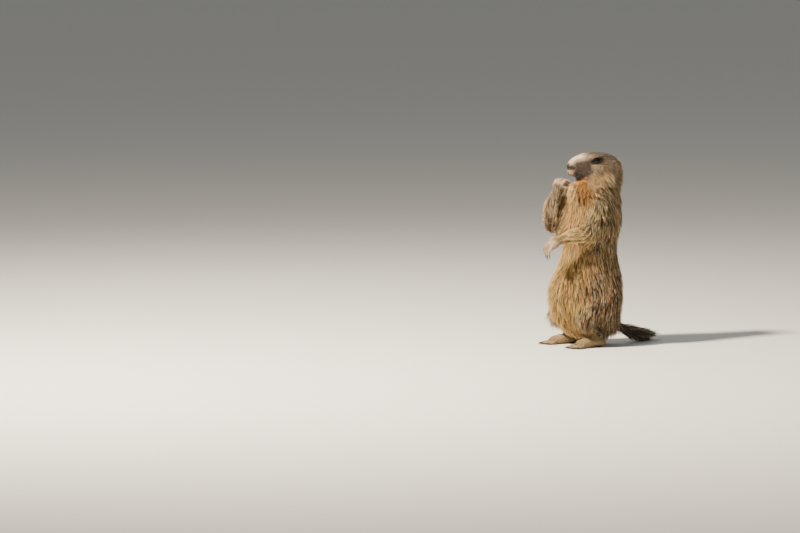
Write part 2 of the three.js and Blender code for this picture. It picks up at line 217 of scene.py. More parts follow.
@dataclass
class Head:
    """Places on the head, measured from the nose pad and the eyes of the CAD model."""

    pad_depth: float = 4.5 * MM
    almond_tilt: float = 16.0
    nose: Array = field(default_factory=lambda: middle_of("nose"))
    eyes: dict[str, Array] = field(default_factory=lambda: {s: middle_of(f"eye_{s}") for s in SIDES})
    up: Array = field(default_factory=lambda: np.array([0.0, 0.0, 1.0]))

    def __post_init__(self) -> None:
        """Works out the head's own axes and the eyeball's radius."""
        across = self.eyes["left"] - self.eyes["right"]
        across[2] = 0
        self.left = unit(across)
        self.ahead = np.cross(self.left, self.up)
        tilt = math.radians(self.almond_tilt)
        self.almond_axis = self.ahead * math.cos(tilt) - self.up * math.sin(tilt)
        self.almond_up = self.ahead * math.sin(tilt) + self.up * math.cos(tilt)
        low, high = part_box("eye_left")
        self.eye_radius = (high.z - low.z) / 2

    def measure(self, points: Array) -> tuple[Array, Array, Array]:
        """Measures points along the head.

        Args:
            points: rows of points.

        Returns:
            Millimetres behind the nose tip, to the left of the midline and above the floor.
        """
        offset = points - self.nose
        behind = self.pad_depth - offset @ self.ahead
        return behind / MM, offset @ self.left / MM, points[:, 2] / MM

    def eye_axis(self, side: str) -> Array:
        """Returns the direction in which an eye looks."""
        sign = 1 if side == "left" else -1
        return unit(self.left * sign * 0.93 + self.ahead * 0.24 + self.up * 0.2)

    def mouth_height(self, behind: Array) -> Array:
        """Returns the height of the mouth line in millimetres, at distances behind the nose tip."""
        return 345.5 - 2.5 * smooth(behind, 12, 32)


HEAD = Head()


class Surface:
    """A closed triangle mesh as arrays, with the sums that smoothing and sampling need."""

    def __init__(self, points: Array, triangles: Array) -> None:
        """Keeps the mesh and works out each vertex's neighbours.

        Args:
            points: rows of vertices.
            triangles: rows of three vertex numbers.
        """
        self.points = points
        self.triangles = triangles
        ends = np.concatenate([triangles[:, [0, 1]], triangles[:, [1, 2]], triangles[:, [2, 0]]])
        ends = np.concatenate([ends, ends[:, ::-1]])
        order = np.argsort(ends[:, 0], kind="stable")
        self.neighbours = ends[order, 1]
        counts = np.bincount(ends[:, 0], minlength=len(points))
        self.first = np.concatenate([[0], np.cumsum(counts)[:-1]])
        self.degree = counts

    def mean(self, values: Array) -> Array:
        """Returns the mean of the neighbours' values at each vertex."""
        sums = np.add.reduceat(values[self.neighbours], self.first, axis=0)
        return sums / self.degree.reshape(-1, *[1] * (values.ndim - 1))

    def blurred(self, values: Array, rounds: int) -> Array:
        """Spreads values over the surface.

        Args:
            values: one row for each vertex.
            rounds: how often each vertex takes half of its neighbours' mean.

        Returns:
            The blurred rows.
        """
        for _ in range(rounds):
            values = 0.5 * values + 0.5 * self.mean(values)
        return values

    def relax(self, amount: Array, rounds: int) -> None:
        """Smooths the shape, by an amount from 0 to 1 at each vertex."""
        for _ in range(rounds):
            self.points = self.points + (self.mean(self.points) - self.points) * amount[:, None] * 0.5

    def press(self, depth: Array) -> None:
        """Moves each vertex inwards by its own depth."""
        self.points = self.points - self.normals() * depth[:, None]

    def face_normals(self) -> Array:
        """Returns each triangle's normal, with twice its area as its length."""
        a, b, c = (self.points[self.triangles[:, i]] for i in range(3))
        return np.cross(b - a, c - a)

    def normals(self) -> Array:
        """Returns a unit normal at each vertex."""
        faces = self.face_normals()
        total = np.zeros_like(self.points)
        for corner in range(3):
            for axis in range(3):
                weights = faces[:, axis]
                total[:, axis] += np.bincount(self.triangles[:, corner], weights, len(self.points))
        return unit(total)

    def areas(self) -> Array:
        """Returns each triangle's area."""
        return np.linalg.norm(self.face_normals(), axis=1) / 2

    def tree(self) -> BVHTree:
        """Returns a search tree over the triangles."""
        return BVHTree.FromPolygons(self.points.tolist(), self.triangles.tolist())


def new_object(name: str, mesh: bpy.types.Mesh, material: bpy.types.Material) -> bpy.types.Object:
    """Puts a mesh in the scene with one material.

    Args:
        name: the piece's name.
        mesh: its finished mesh.
        material: its finish.

    Returns:
        The new object, at the origin.
    """
    mesh.name = name
    mesh.materials.clear()
    mesh.materials.append(material)
    piece = bpy.data.objects.new(name, mesh)
    bpy.context.scene.collection.objects.link(piece)
    return piece


def mesh_from_arrays(name: str, points: Array, triangles: Array) -> bpy.types.Mesh:
    """Makes a smooth-shaded triangle mesh.

    Args:
        name: the mesh's name.
        points: rows of vertices.
        triangles: rows of three vertex numbers.

    Returns:
        The new mesh.
    """
    mesh = bpy.data.meshes.new(name)
    mesh.vertices.add(len(points))
    mesh.vertices.foreach_set("co", np.ascontiguousarray(points, np.float32).ravel())
    mesh.loops.add(triangles.size)
    mesh.loops.foreach_set("vertex_index", np.ascontiguousarray(triangles, np.int32).ravel())
    mesh.polygons.add(len(triangles))
    mesh.polygons.foreach_set("loop_start", np.arange(0, triangles.size, 3, dtype=np.int32))
    mesh.polygons.foreach_set("use_smooth", np.ones(len(triangles), bool))
    mesh.update(calc_edges=True)
    return mesh


def paint(mesh: bpy.types.Mesh, colours: Array) -> None:
    """Stores one linear colour for each vertex in the attribute that the fur's finishes read."""
    layer = mesh.attributes.new(FUR_COLOUR, "FLOAT_COLOR", "POINT")
    rows = np.concatenate([colours, np.ones((len(colours), 1))], axis=1)
    layer.data.foreach_set("color", rows.astype(np.float32).ravel())


class Markings:
    """The animal's colours, with some painted shade, as functions of place. Skin and coat are painted by the
    same ones.
    """

    crown = linear("#6d553e")
    muzzle_top = linear("#ead9b8")
    muzzle_side = linear("#44332a")
    muzzle_front = linear("#957e69")
    under_eye = linear("#bfa284")
    cheek = linear("#b8965f")
    throat = linear("#f4cf8e")
    # Painted shade: the throat's orange as it looks in the shadow under the jaw.
    under_chin = linear("#c98a34")
    # Dark lips and nose leather. Along the mouth line the same colour is also painted shade under the upper
    # lip.
    lip = linear("#2a1f19")
    chin = linear("#c2a78e")
    # Dark lid skin, spread over an almond that also holds painted shade around the eye.
    eye_rim = linear("#080605")
    ear_rim = linear("#d9c39c")
    # Painted shade in the hollow of the ear.
    ear_hollow = linear("#2a1d18")
    nape = linear("#684e38")
    chest = linear("#eec07c")
    belly = linear("#efc67c")
    flank = linear("#e2ae63")
    back = linear("#7f613f")
    rump = linear("#8f5a30")
    near_arm = linear("#ecc982")
    # Painted shade: the far forearm is painted darker than the near one.
    far_arm = linear("#b07f48")
    upper_arm = linear("#d8b26f")
    hand = linear("#bfa58c")
    foot = linear("#a48b67")
    # Painted shade in the folds between fingers and toes.
    fold = linear("#3d2d24")
    haunch = linear("#b07c45")
    shank = linear("#b8935f")
    tail_base = linear("#71523a")
    tail_tip = linear("#241a14")
    dark_wool = linear("#2f2016")
    warm_wool = linear("#693f20")
    bare = linear("#4a3a32")
    pale_tip = linear("#f6e9c6")
    dark_hair = linear("#2e2117")

    def __init__(self, surface: Surface, weights: Array, folds: Array) -> None:
        """Paints every vertex of the skin.

        Args:
            surface: the finished skin.
            weights: each node's share of each vertex, in the order of FLESH.
            folds: how near each vertex is to a fold between digits.
        """
        self.surface = surface
        self.folds = folds
        self.normals = surface.normals()
        self.front = -self.normals[:, 1]
        self.share = {node: weights[:, i] for i, node in enumerate(FLESH)}
        self.behind, _, self.height = HEAD.measure(surface.points)
        self.tips = self._tips()
        self.wool = self._wool()
        self.grizzle = self._grizzle()

    def of(self, part: Part) -> Array:
        """Returns a part's share of each vertex, both sides together."""
        return sum(share for node, share in self.share.items() if part_of(node) is part)

    def _head(self) -> Array:
        """Returns the head's colours: pale bridge, dark muzzle sides, straw cheeks and deep orange painted
        shade under the jaw.
        """
        up = self.normals[:, 2]
        colours = mix(self.crown, self.cheek, smooth(self.height, 378, 352))
        side = smooth(self.behind, 60, 38) * smooth(up, 0.85, 0.3) * smooth(self.behind, 2, 10)
        colours = mix(colours, self.muzzle_side, side)
        colours = mix(colours, self.muzzle_front, smooth(self.behind, 16, 7))
        bridge = smooth(self.behind, 56, 20) * smooth(up, 0.3, 0.95)
        colours = mix(colours, self.muzzle_top, bridge)
        below_eye = smooth(np.abs(self.behind - 56), 16, 6) * smooth(np.abs(self.height - 369), 8, 3)
        colours = mix(colours, self.under_eye, below_eye * 0.8)
        # Painted shade: deep orange on the down-facing skin under the jaw, where the jaw's shadow falls.
        throat = smooth(self.behind, 28, 44) * smooth(up, -0.1, -0.5) * smooth(self.height, 352, 342)
        throat *= smooth(self.behind, 84, 66)
        colours = mix(colours, self.under_chin, throat)
        chin = smooth(self.behind, 34, 24) * smooth(self.height, 343.5, 342)
        colours = mix(colours, self.chin, chin)
        wing = np.hypot((self.behind - 5) / 8, (self.height - 368.5) / 4.6)
        colours = mix(colours, self.lip, smooth(wing, 1.15, 0.75) * smooth(up, 0.75, 0.45))
        uneven = 0.28 + 0.3 * smooth(self.height, 372, 350) * smooth(self.behind, 30, 60)
        return colours * (1 + self._mottle() * uneven * smooth(self.behind, 16, 40))[:, None]

    def _mottle(self) -> Array:
        """Returns blotches of about a centimetre, from -1 to 1, that break up the face and the cheeks."""
        x, y, z = (self.surface.points / MM).T
        broad = np.sin(x / 3.1 + 2 * np.sin(z / 5.3)) * np.cos(y / 2.7 + 2 * np.sin(x / 4.9))
        fine = np.sin(z / 1.9 + 2 * np.cos(y / 2.3)) * np.cos(x / 2.1 + z / 3.7)
        return np.clip(0.8 * broad + 0.5 * fine, -1, 1)

    def eye_ring(self) -> Array:
        """Returns how far each vertex is from the nearer eye, where 1 is the edge of its dark almond."""
        nearest = np.full(len(self.normals), 9.0)
        for side in SIDES:
            offset = (self.surface.points - HEAD.eyes[side]) / MM
            along = offset @ HEAD.almond_axis - 0.3
            above = offset @ HEAD.almond_up - 0.1
            ring = np.sqrt((along / 12.5) ** 2 + (above / 6.3) ** 2)
            near = np.linalg.norm(offset, axis=1) < 20
            nearest = np.where(near, np.minimum(nearest, ring), nearest)
        return nearest

    def lips(self) -> Array:
        """Returns how near each vertex is to the mouth line and the nose pad, from 0 to 1."""
        reach = np.abs(self.height - HEAD.mouth_height(self.behind))
        lips = smooth(reach, 3.0, 1.4) * smooth(self.behind, 36, 28) * smooth(self.behind, 8, 11)
        pad = np.linalg.norm((self.surface.points - HEAD.nose) / MM * [1, 1, 1.1], axis=1)
        return np.maximum(lips * self.of(Part.HEAD), smooth(pad, 9.0, 8.0))

    def _neck(self) -> Array:
        """Returns the colours of neck and chest, from the orange front, with a deep orange band of painted
        shade below the chin, round to the dark nape.
        """
        under_jaw = smooth(self.behind, 46, 34) * smooth(self.height, 290, 306)
        throat = np.maximum(under_jaw, smooth(self.front, 0.35, 0.8))
        colours = mix(self.cheek, self.throat, throat)
        # Painted shade: a deep orange band on the throat below the chin, where the head's shadow falls.
        chin_shadow_band = smooth(np.abs(self.behind - 27), 14, 6) * smooth(self.height, 296, 322)
        colours = mix(colours, self.under_chin, chin_shadow_band * 0.9)
        return mix(colours, self.nape, smooth(self.front, -0.35, -0.85))

    def _trunk(self) -> Array:
        """Returns the trunk's colours, from the cream belly over straw flanks to the brown back."""
        low = smooth(self.height, 190, 110)
        side = mix(self.flank, self.haunch, low)
        belly = mix(self.belly, self.chest, smooth(self.height, 215, 270))
        back = mix(self.back, self.rump, low)
        colours = mix(side, belly, smooth(self.front, 0.2, 0.75))
        return mix(colours, back, smooth(self.front, -0.25, -0.8))

    def _tail(self) -> Array:
        """Returns the tail's colours, from the brown base to the nearly black tip."""
        low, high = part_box("tail")
        along = (self.surface.points[:, 1] - low.y) / (high.y - low.y)
        return mix(self.tail_base, self.tail_tip, smooth(along, 0.35, 0.85))

    def _ears(self) -> Array:
        """Returns the ears' colours: a pale rim around painted shade in the hollow."""
        colours = self.ear_rim
        for side in SIDES:
            away = distance_to(self.surface.points, [middle_of(f"ear_{side}")])
            # Painted shade on the front-facing inner side of each ear.
            inner = smooth(away, 9.5, 7.5) * (self.normals @ HEAD.ahead > 0.1)
            colours = mix(colours, self.ear_hollow, inner)
        return colours

    def _tips(self) -> Array:
        """Returns the colour of the hair tips at each vertex."""
        plain = {
            Part.UPPER_ARM: self.upper_arm,
            Part.HAND: self.hand,
            Part.SHANK: self.shank,
            Part.FOOT: self.foot,
        }
        layers = {Part.HEAD: self._head, Part.NECK: self._neck, Part.TRUNK: self._trunk}
        layers |= {Part.THIGH: self._trunk, Part.TAIL: self._tail, Part.EAR: self._ears}
        total = np.zeros_like(self.normals)
        for part, colour in plain.items():
            total += self.of(part)[:, None] * colour
        for part, layer in layers.items():
            total += self.of(part)[:, None] * layer()
        # The far forearm takes the darker colour: painted shade.
        for side, colour in zip(SIDES, (self.near_arm, self.far_arm)):
            total += self.share[f"forearm_{side}"][:, None] * colour
        # Painted shade in the folds between the digits.
        total = mix(total, self.fold, self.folds * 0.75)
        # The eyes' dark lids, widened by painted shade around them.
        total = mix(total, self.eye_rim, smooth(self.eye_ring(), 1.2, 0.92))
        # Dark lips and nose pad. The band along the mouth line is also painted shade under the upper lip.
        return mix(total, self.lip, self.lips())

    def _wool(self) -> Array:
        """Returns the colour near the hair roots: dark above, warm on chest and belly."""
        front = smooth(self.front, 0.1, 0.7)
        body = self.of(Part.TRUNK) + self.of(Part.NECK)
        # Only the near forearm gets warm wool. The far one keeps the dark wool as painted shade.
        arm = self.share["forearm_left"] * 0.9
        warm = np.clip(front * body + arm, 0, 1)
        wool = mix(self.dark_wool, self.warm_wool, warm)
        bridge = smooth(self.behind, 50, 22) * smooth(self.normals[:, 2], 0.2, 0.7) * self.of(Part.HEAD)
        wool = mix(wool, self.under_eye, bridge * 0.75)
        return mix(wool, self.tips, np.clip(self.of(Part.HAND) + self.of(Part.FOOT), 0, 1) * 0.6)

    def _grizzle(self) -> Array:
        """Returns how many dark and pale hairs are mixed in: most on back, flanks and head."""
        front = smooth(self.front, 0.1, 0.7)
        calm = self.of(Part.HAND) + self.of(Part.FOOT) + self.of(Part.EAR)
        calm = calm + front * (self.of(Part.TRUNK) + self.of(Part.NECK)) + 0.7 * self.share["forearm_left"]
        muzzle = smooth(self.behind, 60, 30) * self.of(Part.HEAD)
        return np.clip(1 - calm - 0.75 * muzzle, 0.08, 1) * smooth(self.eye_ring(), 1.05, 1.5)

    def skin_colours(self) -> Array:
        """Returns the colours of the skin itself: wool under the fur, and bare on palms and soles."""
        short = np.clip(self.of(Part.HEAD) * smooth(self.behind, 75, 40), 0, 1)
        colours = mix(self.wool, self.tips, 0.35 + 0.4 * short)
        downward = smooth(self.normals[:, 2], -0.35, -0.8) * np.clip(self.of(Part.FOOT), 0, 1)
        colours = mix(colours, self.bare, downward)
        # The eyes' dark lids, widened by painted shade around them.
        colours = mix(colours, self.eye_rim, smooth(self.eye_ring(), 1.12, 0.95))
        # Dark lips and nose pad. The band along the mouth line is also painted shade under the upper lip.
        return mix(colours, self.lip, self.lips())


@dataclass
class Skin:
    """One skin over all the flesh, inside the coat's outline by the depth of the coat."""

    voxel: float = 2.2 * MM
    overlap: float = 0.45 * MM
    body_rounds: int = 90
    eye_reach: float = 13 * MM
    lid_reach: float = 10 * MM
    muzzle_reach: float = 34 * MM
    digit_reach: float = 15 * MM
    fold_depth: float = 1.7 * MM
    lid_height: float = 0.9 * MM
    lid_half_width: float = 74.0
    lid_half_height: float = 50.0
    mouth_depth: float = 2.6 * MM
    split_depth: float = 1.4 * MM
    settle_rounds: int = 14
    weight_rounds: int = 16
    room_share: float = 0.36
    room_rounds: int = 6
    depth_rounds: int = 5
    lid_rounds: int = 4
    farthest: float = 0.2
    pad_press: float = 3.2 * MM

    def build(self) -> bpy.types.Object:
        """Builds the skin.

        Returns:
            The finished object.
        """
        self.surface = self._remeshed()
        self.weights = self._weights()
        self.smoothing = self._by_part("smoothing")
        self.surface.relax(self.smoothing, self.body_rounds)
        self.depth = self._depth()
        self.surface.press(self.depth)
        self.surface.relax(self.smoothing, self.settle_rounds)
        self.surface.relax(np.full(len(self.depth), 0.5), 2)
        self.surface.points[:, 2] = np.maximum(self.surface.points[:, 2], 0)
        self._open_mouth()
        for side in SIDES:
            self._form_lids(side)
        folds = self._digit_folds()
        self.surface.press(folds * self.fold_depth)
        self.markings = Markings(self.surface, self.weights, folds)
        mesh = mesh_from_arrays("skin", self.surface.points, self.surface.triangles)
        paint(mesh, self.markings.skin_colours())
        return new_object("skin", mesh, FurredSkin().material())

    def _remeshed(self) -> Surface:
        """Joins copies of the flesh nodes, makes one even mesh of them and refines the face."""
        bm = bmesh.new()
        for node in [*FLESH, "eye_left", "eye_right", "nose"]:
            copy = bmesh.new()
            copy.from_mesh(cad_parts[node].data)
            bmesh.ops.remove_doubles(copy, verts=copy.verts, dist=0.01 * MM)
            copy.normal_update()
            for vertex in copy.verts:
                vertex.co += vertex.normal * self.overlap
            mesh = bpy.data.meshes.new("flesh_copy")
            copy.to_mesh(mesh)
            copy.free()
            bm.from_mesh(mesh)
            bpy.data.meshes.remove(mesh)
        joined = bpy.data.meshes.new("flesh_joined")
        bm.to_mesh(joined)
        bm.free()
        shape = bpy.data.objects.new("flesh_joined", joined)
        bpy.context.scene.collection.objects.link(shape)
        remesh = shape.modifiers.new("one_skin", "REMESH")
        remesh.mode = "VOXEL"
        remesh.voxel_size = self.voxel
        evaluated = shape.evaluated_get(bpy.context.evaluated_depsgraph_get())
        even = bpy.data.meshes.new_from_object(evaluated)
        bpy.data.objects.remove(shape)
        bpy.data.meshes.remove(joined)
        return self._refined(even)

    def _refined(self, even: bpy.types.Mesh) -> Surface:
        """Splits the edges near the eyes and the muzzle, keeps the outer shell and makes triangles."""
        bm = bmesh.new()
        bm.from_mesh(even)
        bpy.data.meshes.remove(even)
        eyes = [(eye, self.eye_reach) for eye in HEAD.eyes.values()]
        muzzle = [(HEAD.nose - HEAD.ahead * 14 * MM, self.muzzle_reach)]
        digits = [(root, self.digit_reach) for row in CLAW_ROWS for root in claw_roots(row)]
        lids = [(eye, self.lid_reach) for eye in HEAD.eyes.values()]
        for spots in (eyes + muzzle + digits, eyes, lids):
            bm.edges.ensure_lookup_table()
            starts = np.array([edge.verts[0].co[:] for edge in bm.edges])
            near = np.zeros(len(starts), bool)
            for spot, reach in spots:
                near |= np.linalg.norm(starts - spot, axis=1) < reach
            chosen = [bm.edges[index] for index in np.flatnonzero(near)]
            bmesh.ops.subdivide_edges(bm, edges=chosen, cuts=1, use_grid_fill=True)
        bmesh.ops.triangulate(bm, faces=bm.faces)
        keep = self._outer_shell(bm)
        inner = [vertex for vertex in bm.verts if vertex.index not in keep]
        bmesh.ops.delete(bm, geom=inner, context="VERTS")
        bm.verts.index_update()
        points = np.array([vertex.co[:] for vertex in bm.verts])
        triangles = np.array([[vertex.index for vertex in face.verts] for face in bm.faces])
        bm.free()
        return Surface(points, triangles)

    @staticmethod
    def _outer_shell(bm: bmesh.types.BMesh) -> set[int]:
        """Returns the vertex numbers of the largest connected shell, so that no inner pocket stays."""
        bm.verts.index_update()
        bm.verts.ensure_lookup_table()
        unseen = set(range(len(bm.verts)))
        largest: set[int] = set()
        while unseen:
            stack = [unseen.pop()]
            shell = set(stack)
            while stack:
                for edge in bm.verts[stack.pop()].link_edges:
                    for vertex in edge.verts:
                        if vertex.index in unseen:
                            unseen.discard(vertex.index)
                            shell.add(vertex.index)
                            stack.append(vertex.index)
            if len(shell) > len(largest):
                largest = shell
        return largest

    def _weights(self) -> Array:
        """Returns each node's share of each vertex, blurred across the joins."""
        points: list[Array] = []
        triangles: list[Array] = []
        owners: list[int] = []
        start = 0
        for index, node in enumerate(FLESH):
            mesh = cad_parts[node].data
            mesh.calc_loop_triangles()
            rows = np.empty(len(mesh.loop_triangles) * 3, np.int32)
            mesh.loop_triangles.foreach_get("vertices", rows)
            points.append(points_of(node))
            triangles.append(rows.reshape(-1, 3) + start)
            owners += [index] * (len(rows) // 3)
            start += len(points[-1])
        tree = BVHTree.FromPolygons(np.concatenate(points).tolist(), np.concatenate(triangles).tolist())
        nearest = [tree.find_nearest(point)[2] for point in self.surface.points.tolist()]
        weights = np.zeros((len(nearest), len(FLESH)))
        weights[np.arange(len(nearest)), np.array(owners)[nearest]] = 1
        return self.surface.blurred(weights, self.weight_rounds)

    def _by_part(self, size: str) -> Array:
        """Returns one of the coat's sizes at each vertex, blended between the parts."""
        values = np.array([getattr(COATS[part_of(node)], size) for node in FLESH])
        return self.weights @ values

    def share(self, *parts: Part) -> Array:
        """Returns the joint share of some parts at each vertex."""
        columns = [i for i, node in enumerate(FLESH) if part_of(node) in parts]
        return self.weights[:, columns].sum(axis=1)

    def _face_growth(self) -> Array:
        """Returns how long the head's hair is, as a share: short on the muzzle, long on the cheeks."""
        behind, _, height = HEAD.measure(self.surface.points)
        growth = 0.2 + 0.3 * smooth(behind, 22, 60) + 0.75 * smooth(behind, 55, 95) * smooth(height, 388, 350)
        near_eye = distance_to(self.surface.points, HEAD.eyes.values())
        near_ear = distance_to(self.surface.points, [middle_of(f"ear_{side}") for side in SIDES])
        growth *= 0.3 + 0.7 * smooth(near_ear, 10, 20)
        return growth * (0.22 + 0.78 * smooth(near_eye, 11, 22))

    def _depth(self) -> Array:
        """Returns the coat's depth in metres at each vertex, less where the flesh is thin."""
        behind, across, height = HEAD.measure(self.surface.points)
        from_gullet = np.sqrt((behind - 38) ** 2 + across**2 + (height - 334) ** 2)
        self.growth = 1 - self.share(Part.HEAD) * (1 - self._face_growth())
        self.growth *= 1 - 0.55 * smooth(from_gullet, 46, 22) * self.share(Part.NECK)
        depth = self._by_part("depth") * MM * self.growth
        self.growth += 0.5 * smooth(behind, 26, 44) * smooth(height, 352, 338) * self.share(Part.HEAD)
        normals = self.surface.normals()
        tree = self.surface.tree()
        room = np.empty(len(depth))
        starts = self.surface.points - normals * 0.2 * MM
        for index, (point, normal) in enumerate(zip(starts.tolist(), (-normals).tolist())):
            distance = tree.ray_cast(point, normal, self.farthest)[3]
            room[index] = self.farthest if distance is None else distance
        room = self.room_share * self.surface.blurred(room, self.room_rounds)
        depth = self.surface.blurred(np.minimum(depth, room), self.depth_rounds)
        pad = distance_to(self.surface.points, [HEAD.nose])
        depth = np.maximum(depth, self.pad_press * smooth(pad, 9.6, 7.6))
        on_floor = smooth(normals[:, 2], -0.6, -0.9) * smooth(self.surface.points[:, 2] / MM, 4, 2)
        return depth * (1 - on_floor)

    def _digit_folds(self) -> Array:
        """Returns how near each vertex is to a fold between two fingers or toes, from 0 to 1."""
        folds = np.zeros(len(self.surface.points))
        for row in CLAW_ROWS:
            roots = claw_roots(row)
            middle = roots.mean(axis=0)
            across = unit(roots[-1] - roots[0])
            nearest = distance_to(self.surface.points, roots)
            drawn_in = 1 - 0.012 * np.minimum(nearest, 25)
            place = (self.surface.points - middle) @ across / drawn_in / MM
            digits = (roots - middle) @ across / MM
            for first, second in zip(digits, digits[1:]):
                fold = np.exp(-(((place - (first + second) / 2) / 1.15) ** 2))
                folds = np.maximum(folds, fold * smooth(nearest, 21, 13))
        return folds * self.share(Part.HAND, Part.FOOT)

    def _open_mouth(self) -> None:
        """Presses the mouth line and the split of the upper lip into the skin."""
        behind, across, height = HEAD.measure(self.surface.points)
        head = self.share(Part.HEAD)
        reach = (height - HEAD.mouth_height(behind)) / 1.5
        line = np.exp(-(reach**2)) * smooth(behind, 37, 31) * smooth(behind, 4, 7) * head
        split = np.exp(-((across / 1.1) ** 2)) * smooth(behind, 14, 8) * smooth(height, 366, 360) * head
        split *= smooth(height, 344, 348)
        self.surface.press(line * self.mouth_depth + split * self.split_depth)

    def _form_lids(self, side: str) -> None:
        """Wraps lids around an eyeball: an almond opening, a raised rim and a soft slope around it.

        Args:
            side: the eye's side.
        """
        centre = HEAD.eyes[side]
        out = HEAD.eye_axis(side)
        forward = unit(HEAD.almond_axis - out * (HEAD.almond_axis @ out))
        upward = np.cross(out, forward) * (1 if side == "right" else -1)
        offset = self.surface.points - centre
        distance = np.linalg.norm(offset, axis=1)
        near = (distance < 2.6 * HEAD.eye_radius) & (offset @ out > -0.15 * distance)
        rays = offset[near] / distance[near][:, None]
        turn = np.degrees(np.arctan2(rays @ forward, rays @ out))
        tilt = np.degrees(np.arctan2(rays @ upward, rays @ out))
        narrowing = 1 - 0.42 * np.clip(turn / self.lid_half_width, -1, 1) ** 2
        opening = np.hypot(turn / self.lid_half_width, tilt / (self.lid_half_height * narrowing))
        hidden = HEAD.eye_radius * 0.8
        rim = HEAD.eye_radius + self.lid_height
        target = hidden + (rim - hidden) * smooth(opening, 0.94, 1.12)
        fade = smooth(opening, 1.3, 2.1)
        wanted = target * (1 - fade) + distance[near] * fade
        wanted = np.where(opening > 1.12, np.maximum(wanted, np.minimum(distance[near], rim * 1.6)), wanted)
        self.surface.points[near] = centre + rays * wanted[:, None]
        calm = np.zeros(len(distance))
        calm[np.flatnonzero(near)[opening > 1.2]] = 0.8
        self.surface.relax(calm, self.lid_rounds)


@dataclass
class Flow:
    """The lie of the coat: a tangent direction at each vertex of the skin."""

    skin: Skin
    blur_rounds: int = 12

    def directions(self) -> Array:
        """Returns a unit tangent at each vertex, from nose to tail and down the limbs."""
        surface = self.skin.surface
        weights = self.skin.weights
        normals = surface.normals()
        total = np.zeros_like(surface.points)
        for index, node in enumerate(FLESH):
            total += weights[:, index][:, None] * self._lie(node, surface.points)
        total = surface.blurred(total, self.blur_rounds)
        total -= normals * np.sum(total * normals, axis=1)[:, None]
        return unit(total)

    def _lie(self, node: str, points: Array) -> Array:
        """Returns the direction that the hair of one node grows in.

        Args:
            node: a flesh node's name.
            points: rows of points.

        Returns:
            One direction for each point.
        """
        part = part_of(node)
        side = node.rsplit("_", 1)[-1]
        down = np.array([0.0, 0.0, -1.0])
        if part is Part.HEAD:
            behind, _, height = HEAD.measure(points)
            fall = 0.12 + 0.95 * smooth(behind, 40, 95) * smooth(height, 395, 360)
            return -HEAD.ahead + down * fall[:, None]
        if part is Part.NECK:
            return np.tile(down - HEAD.ahead * 0.35, (len(points), 1))
        if part is Part.TRUNK:
            return down + np.sign(points[:, :1]) * [0.25, 0, 0]
        if part is Part.EAR:
            return np.tile(HEAD.up - HEAD.ahead * 0.5, (len(points), 1))
        return np.tile(self._axis(node, part, side), (len(points), 1))

    @staticmethod
    def _axis(node: str, part: Part, side: str) -> Array:
        """Returns a limb node's long axis, pointed away from the body."""
        ends = {
            Part.UPPER_ARM: (f"upper_arm_{side}", f"forearm_{side}"),
            Part.FOREARM: (f"forearm_{side}", f"hand_{side}"),
            Part.HAND: (f"forearm_{side}", f"hand_{side}"),
            Part.THIGH: (f"thigh_{side}", f"shank_{side}"),
            Part.SHANK: (f"shank_{side}", f"foot_{side}"),
            Part.FOOT: (f"foot_{side}", f"claw_foot_{side}_3"),
            Part.TAIL: ("trunk", "tail"),
        }
        start, end = ends[part]
        away = middle_of(end) - middle_of(start)
        rows = points_of(node)
        axis = np.linalg.svd(rows - rows.mean(axis=0), full_matrices=False)[2][0]
        axis = axis * np.sign(axis @ away)
        if part is Part.THIGH:
            return unit(axis * 0.4 + np.array([0.0, 0.0, -1.0]))
        if part is Part.HAND:
            claws = np.mean([middle_of(f"claw_hand_{side}_{i}") for i in (2, 3)], axis=0)
            return unit(claws - middle_of(start))
        return axis


@dataclass
class Unwrap:
    """An unwrap of the skin: each node's stretch of skin is rolled off round its own long axis."""

    skin: Skin
    margin: float = 0.006

    def places(self) -> Array:
        """Returns each vertex's place on the unwrap, from 0 to 1 both ways."""
        points = self.skin.surface.points
        owner = self.skin.weights.argmax(axis=1)
        charts = {}
        for index, node in enumerate(FLESH):
            rows = np.flatnonzero(owner == index)
            if len(rows):
                charts[node] = (rows, *self._rolled(points[rows], node))
        return self._packed(charts, len(points))

    @staticmethod
    def _rolled(points: Array, node: str) -> tuple[Array, float, float]:
        """Rolls points off round their node's long axis.

        Args:
            points: rows of points.
            node: the node that they belong to.

        Returns:
            Their places from 0 to 1 both ways, and the chart's real width and height.
        """
        rows = points_of(node)
        centre = rows.mean(axis=0)
        axes = np.linalg.svd(rows - centre, full_matrices=False)[2]
        local = (points - centre) @ axes.T
        turn = np.arctan2(local[:, 2], local[:, 1]) / (2 * math.pi) + 0.5
        low, high = local[:, 0].min(), local[:, 0].max()
        radius = np.hypot(local[:, 1], local[:, 2]).mean()
        along = (local[:, 0] - low) / (high - low)
        return np.stack([turn, along], axis=1), 2 * math.pi * radius, high - low

    def _packed(self, charts: dict, count: int) -> Array:
        """Lays the charts in rows, the tallest first, and scales them to fill the square."""
        order = sorted(charts, key=lambda node: -charts[node][3])
        area = sum(charts[node][2] * charts[node][3] for node in order)
        row_width = 1.25 * math.sqrt(area)
        places = np.zeros((count, 2))
        x = y = tallest = widest = 0.0
        spots = {}
        for node in order:
            _, _, width, height = charts[node]
            if x and x + width > row_width:
                x, y, tallest = 0.0, y + tallest, 0.0
            spots[node] = (x, y)
            x += width
            tallest = max(tallest, height)
            widest = max(widest, x)
        size = max(widest, y + tallest)
        for node, (left, bottom) in spots.items():
            rows, local, width, height = charts[node]
            inset = self.margin + local * (1 - 2 * self.margin)
            places[rows] = (np.array([left, bottom]) + inset * [width, height]) / size
        return places


class Rows:
    """Columns of equal length, one row for each tuft."""

    def chosen(self, mask: Array) -> "Rows":
        """Returns the rows that a mask picks."""
        return type(self)(**{name: values[mask] for name, values in self.__dict__.items()})


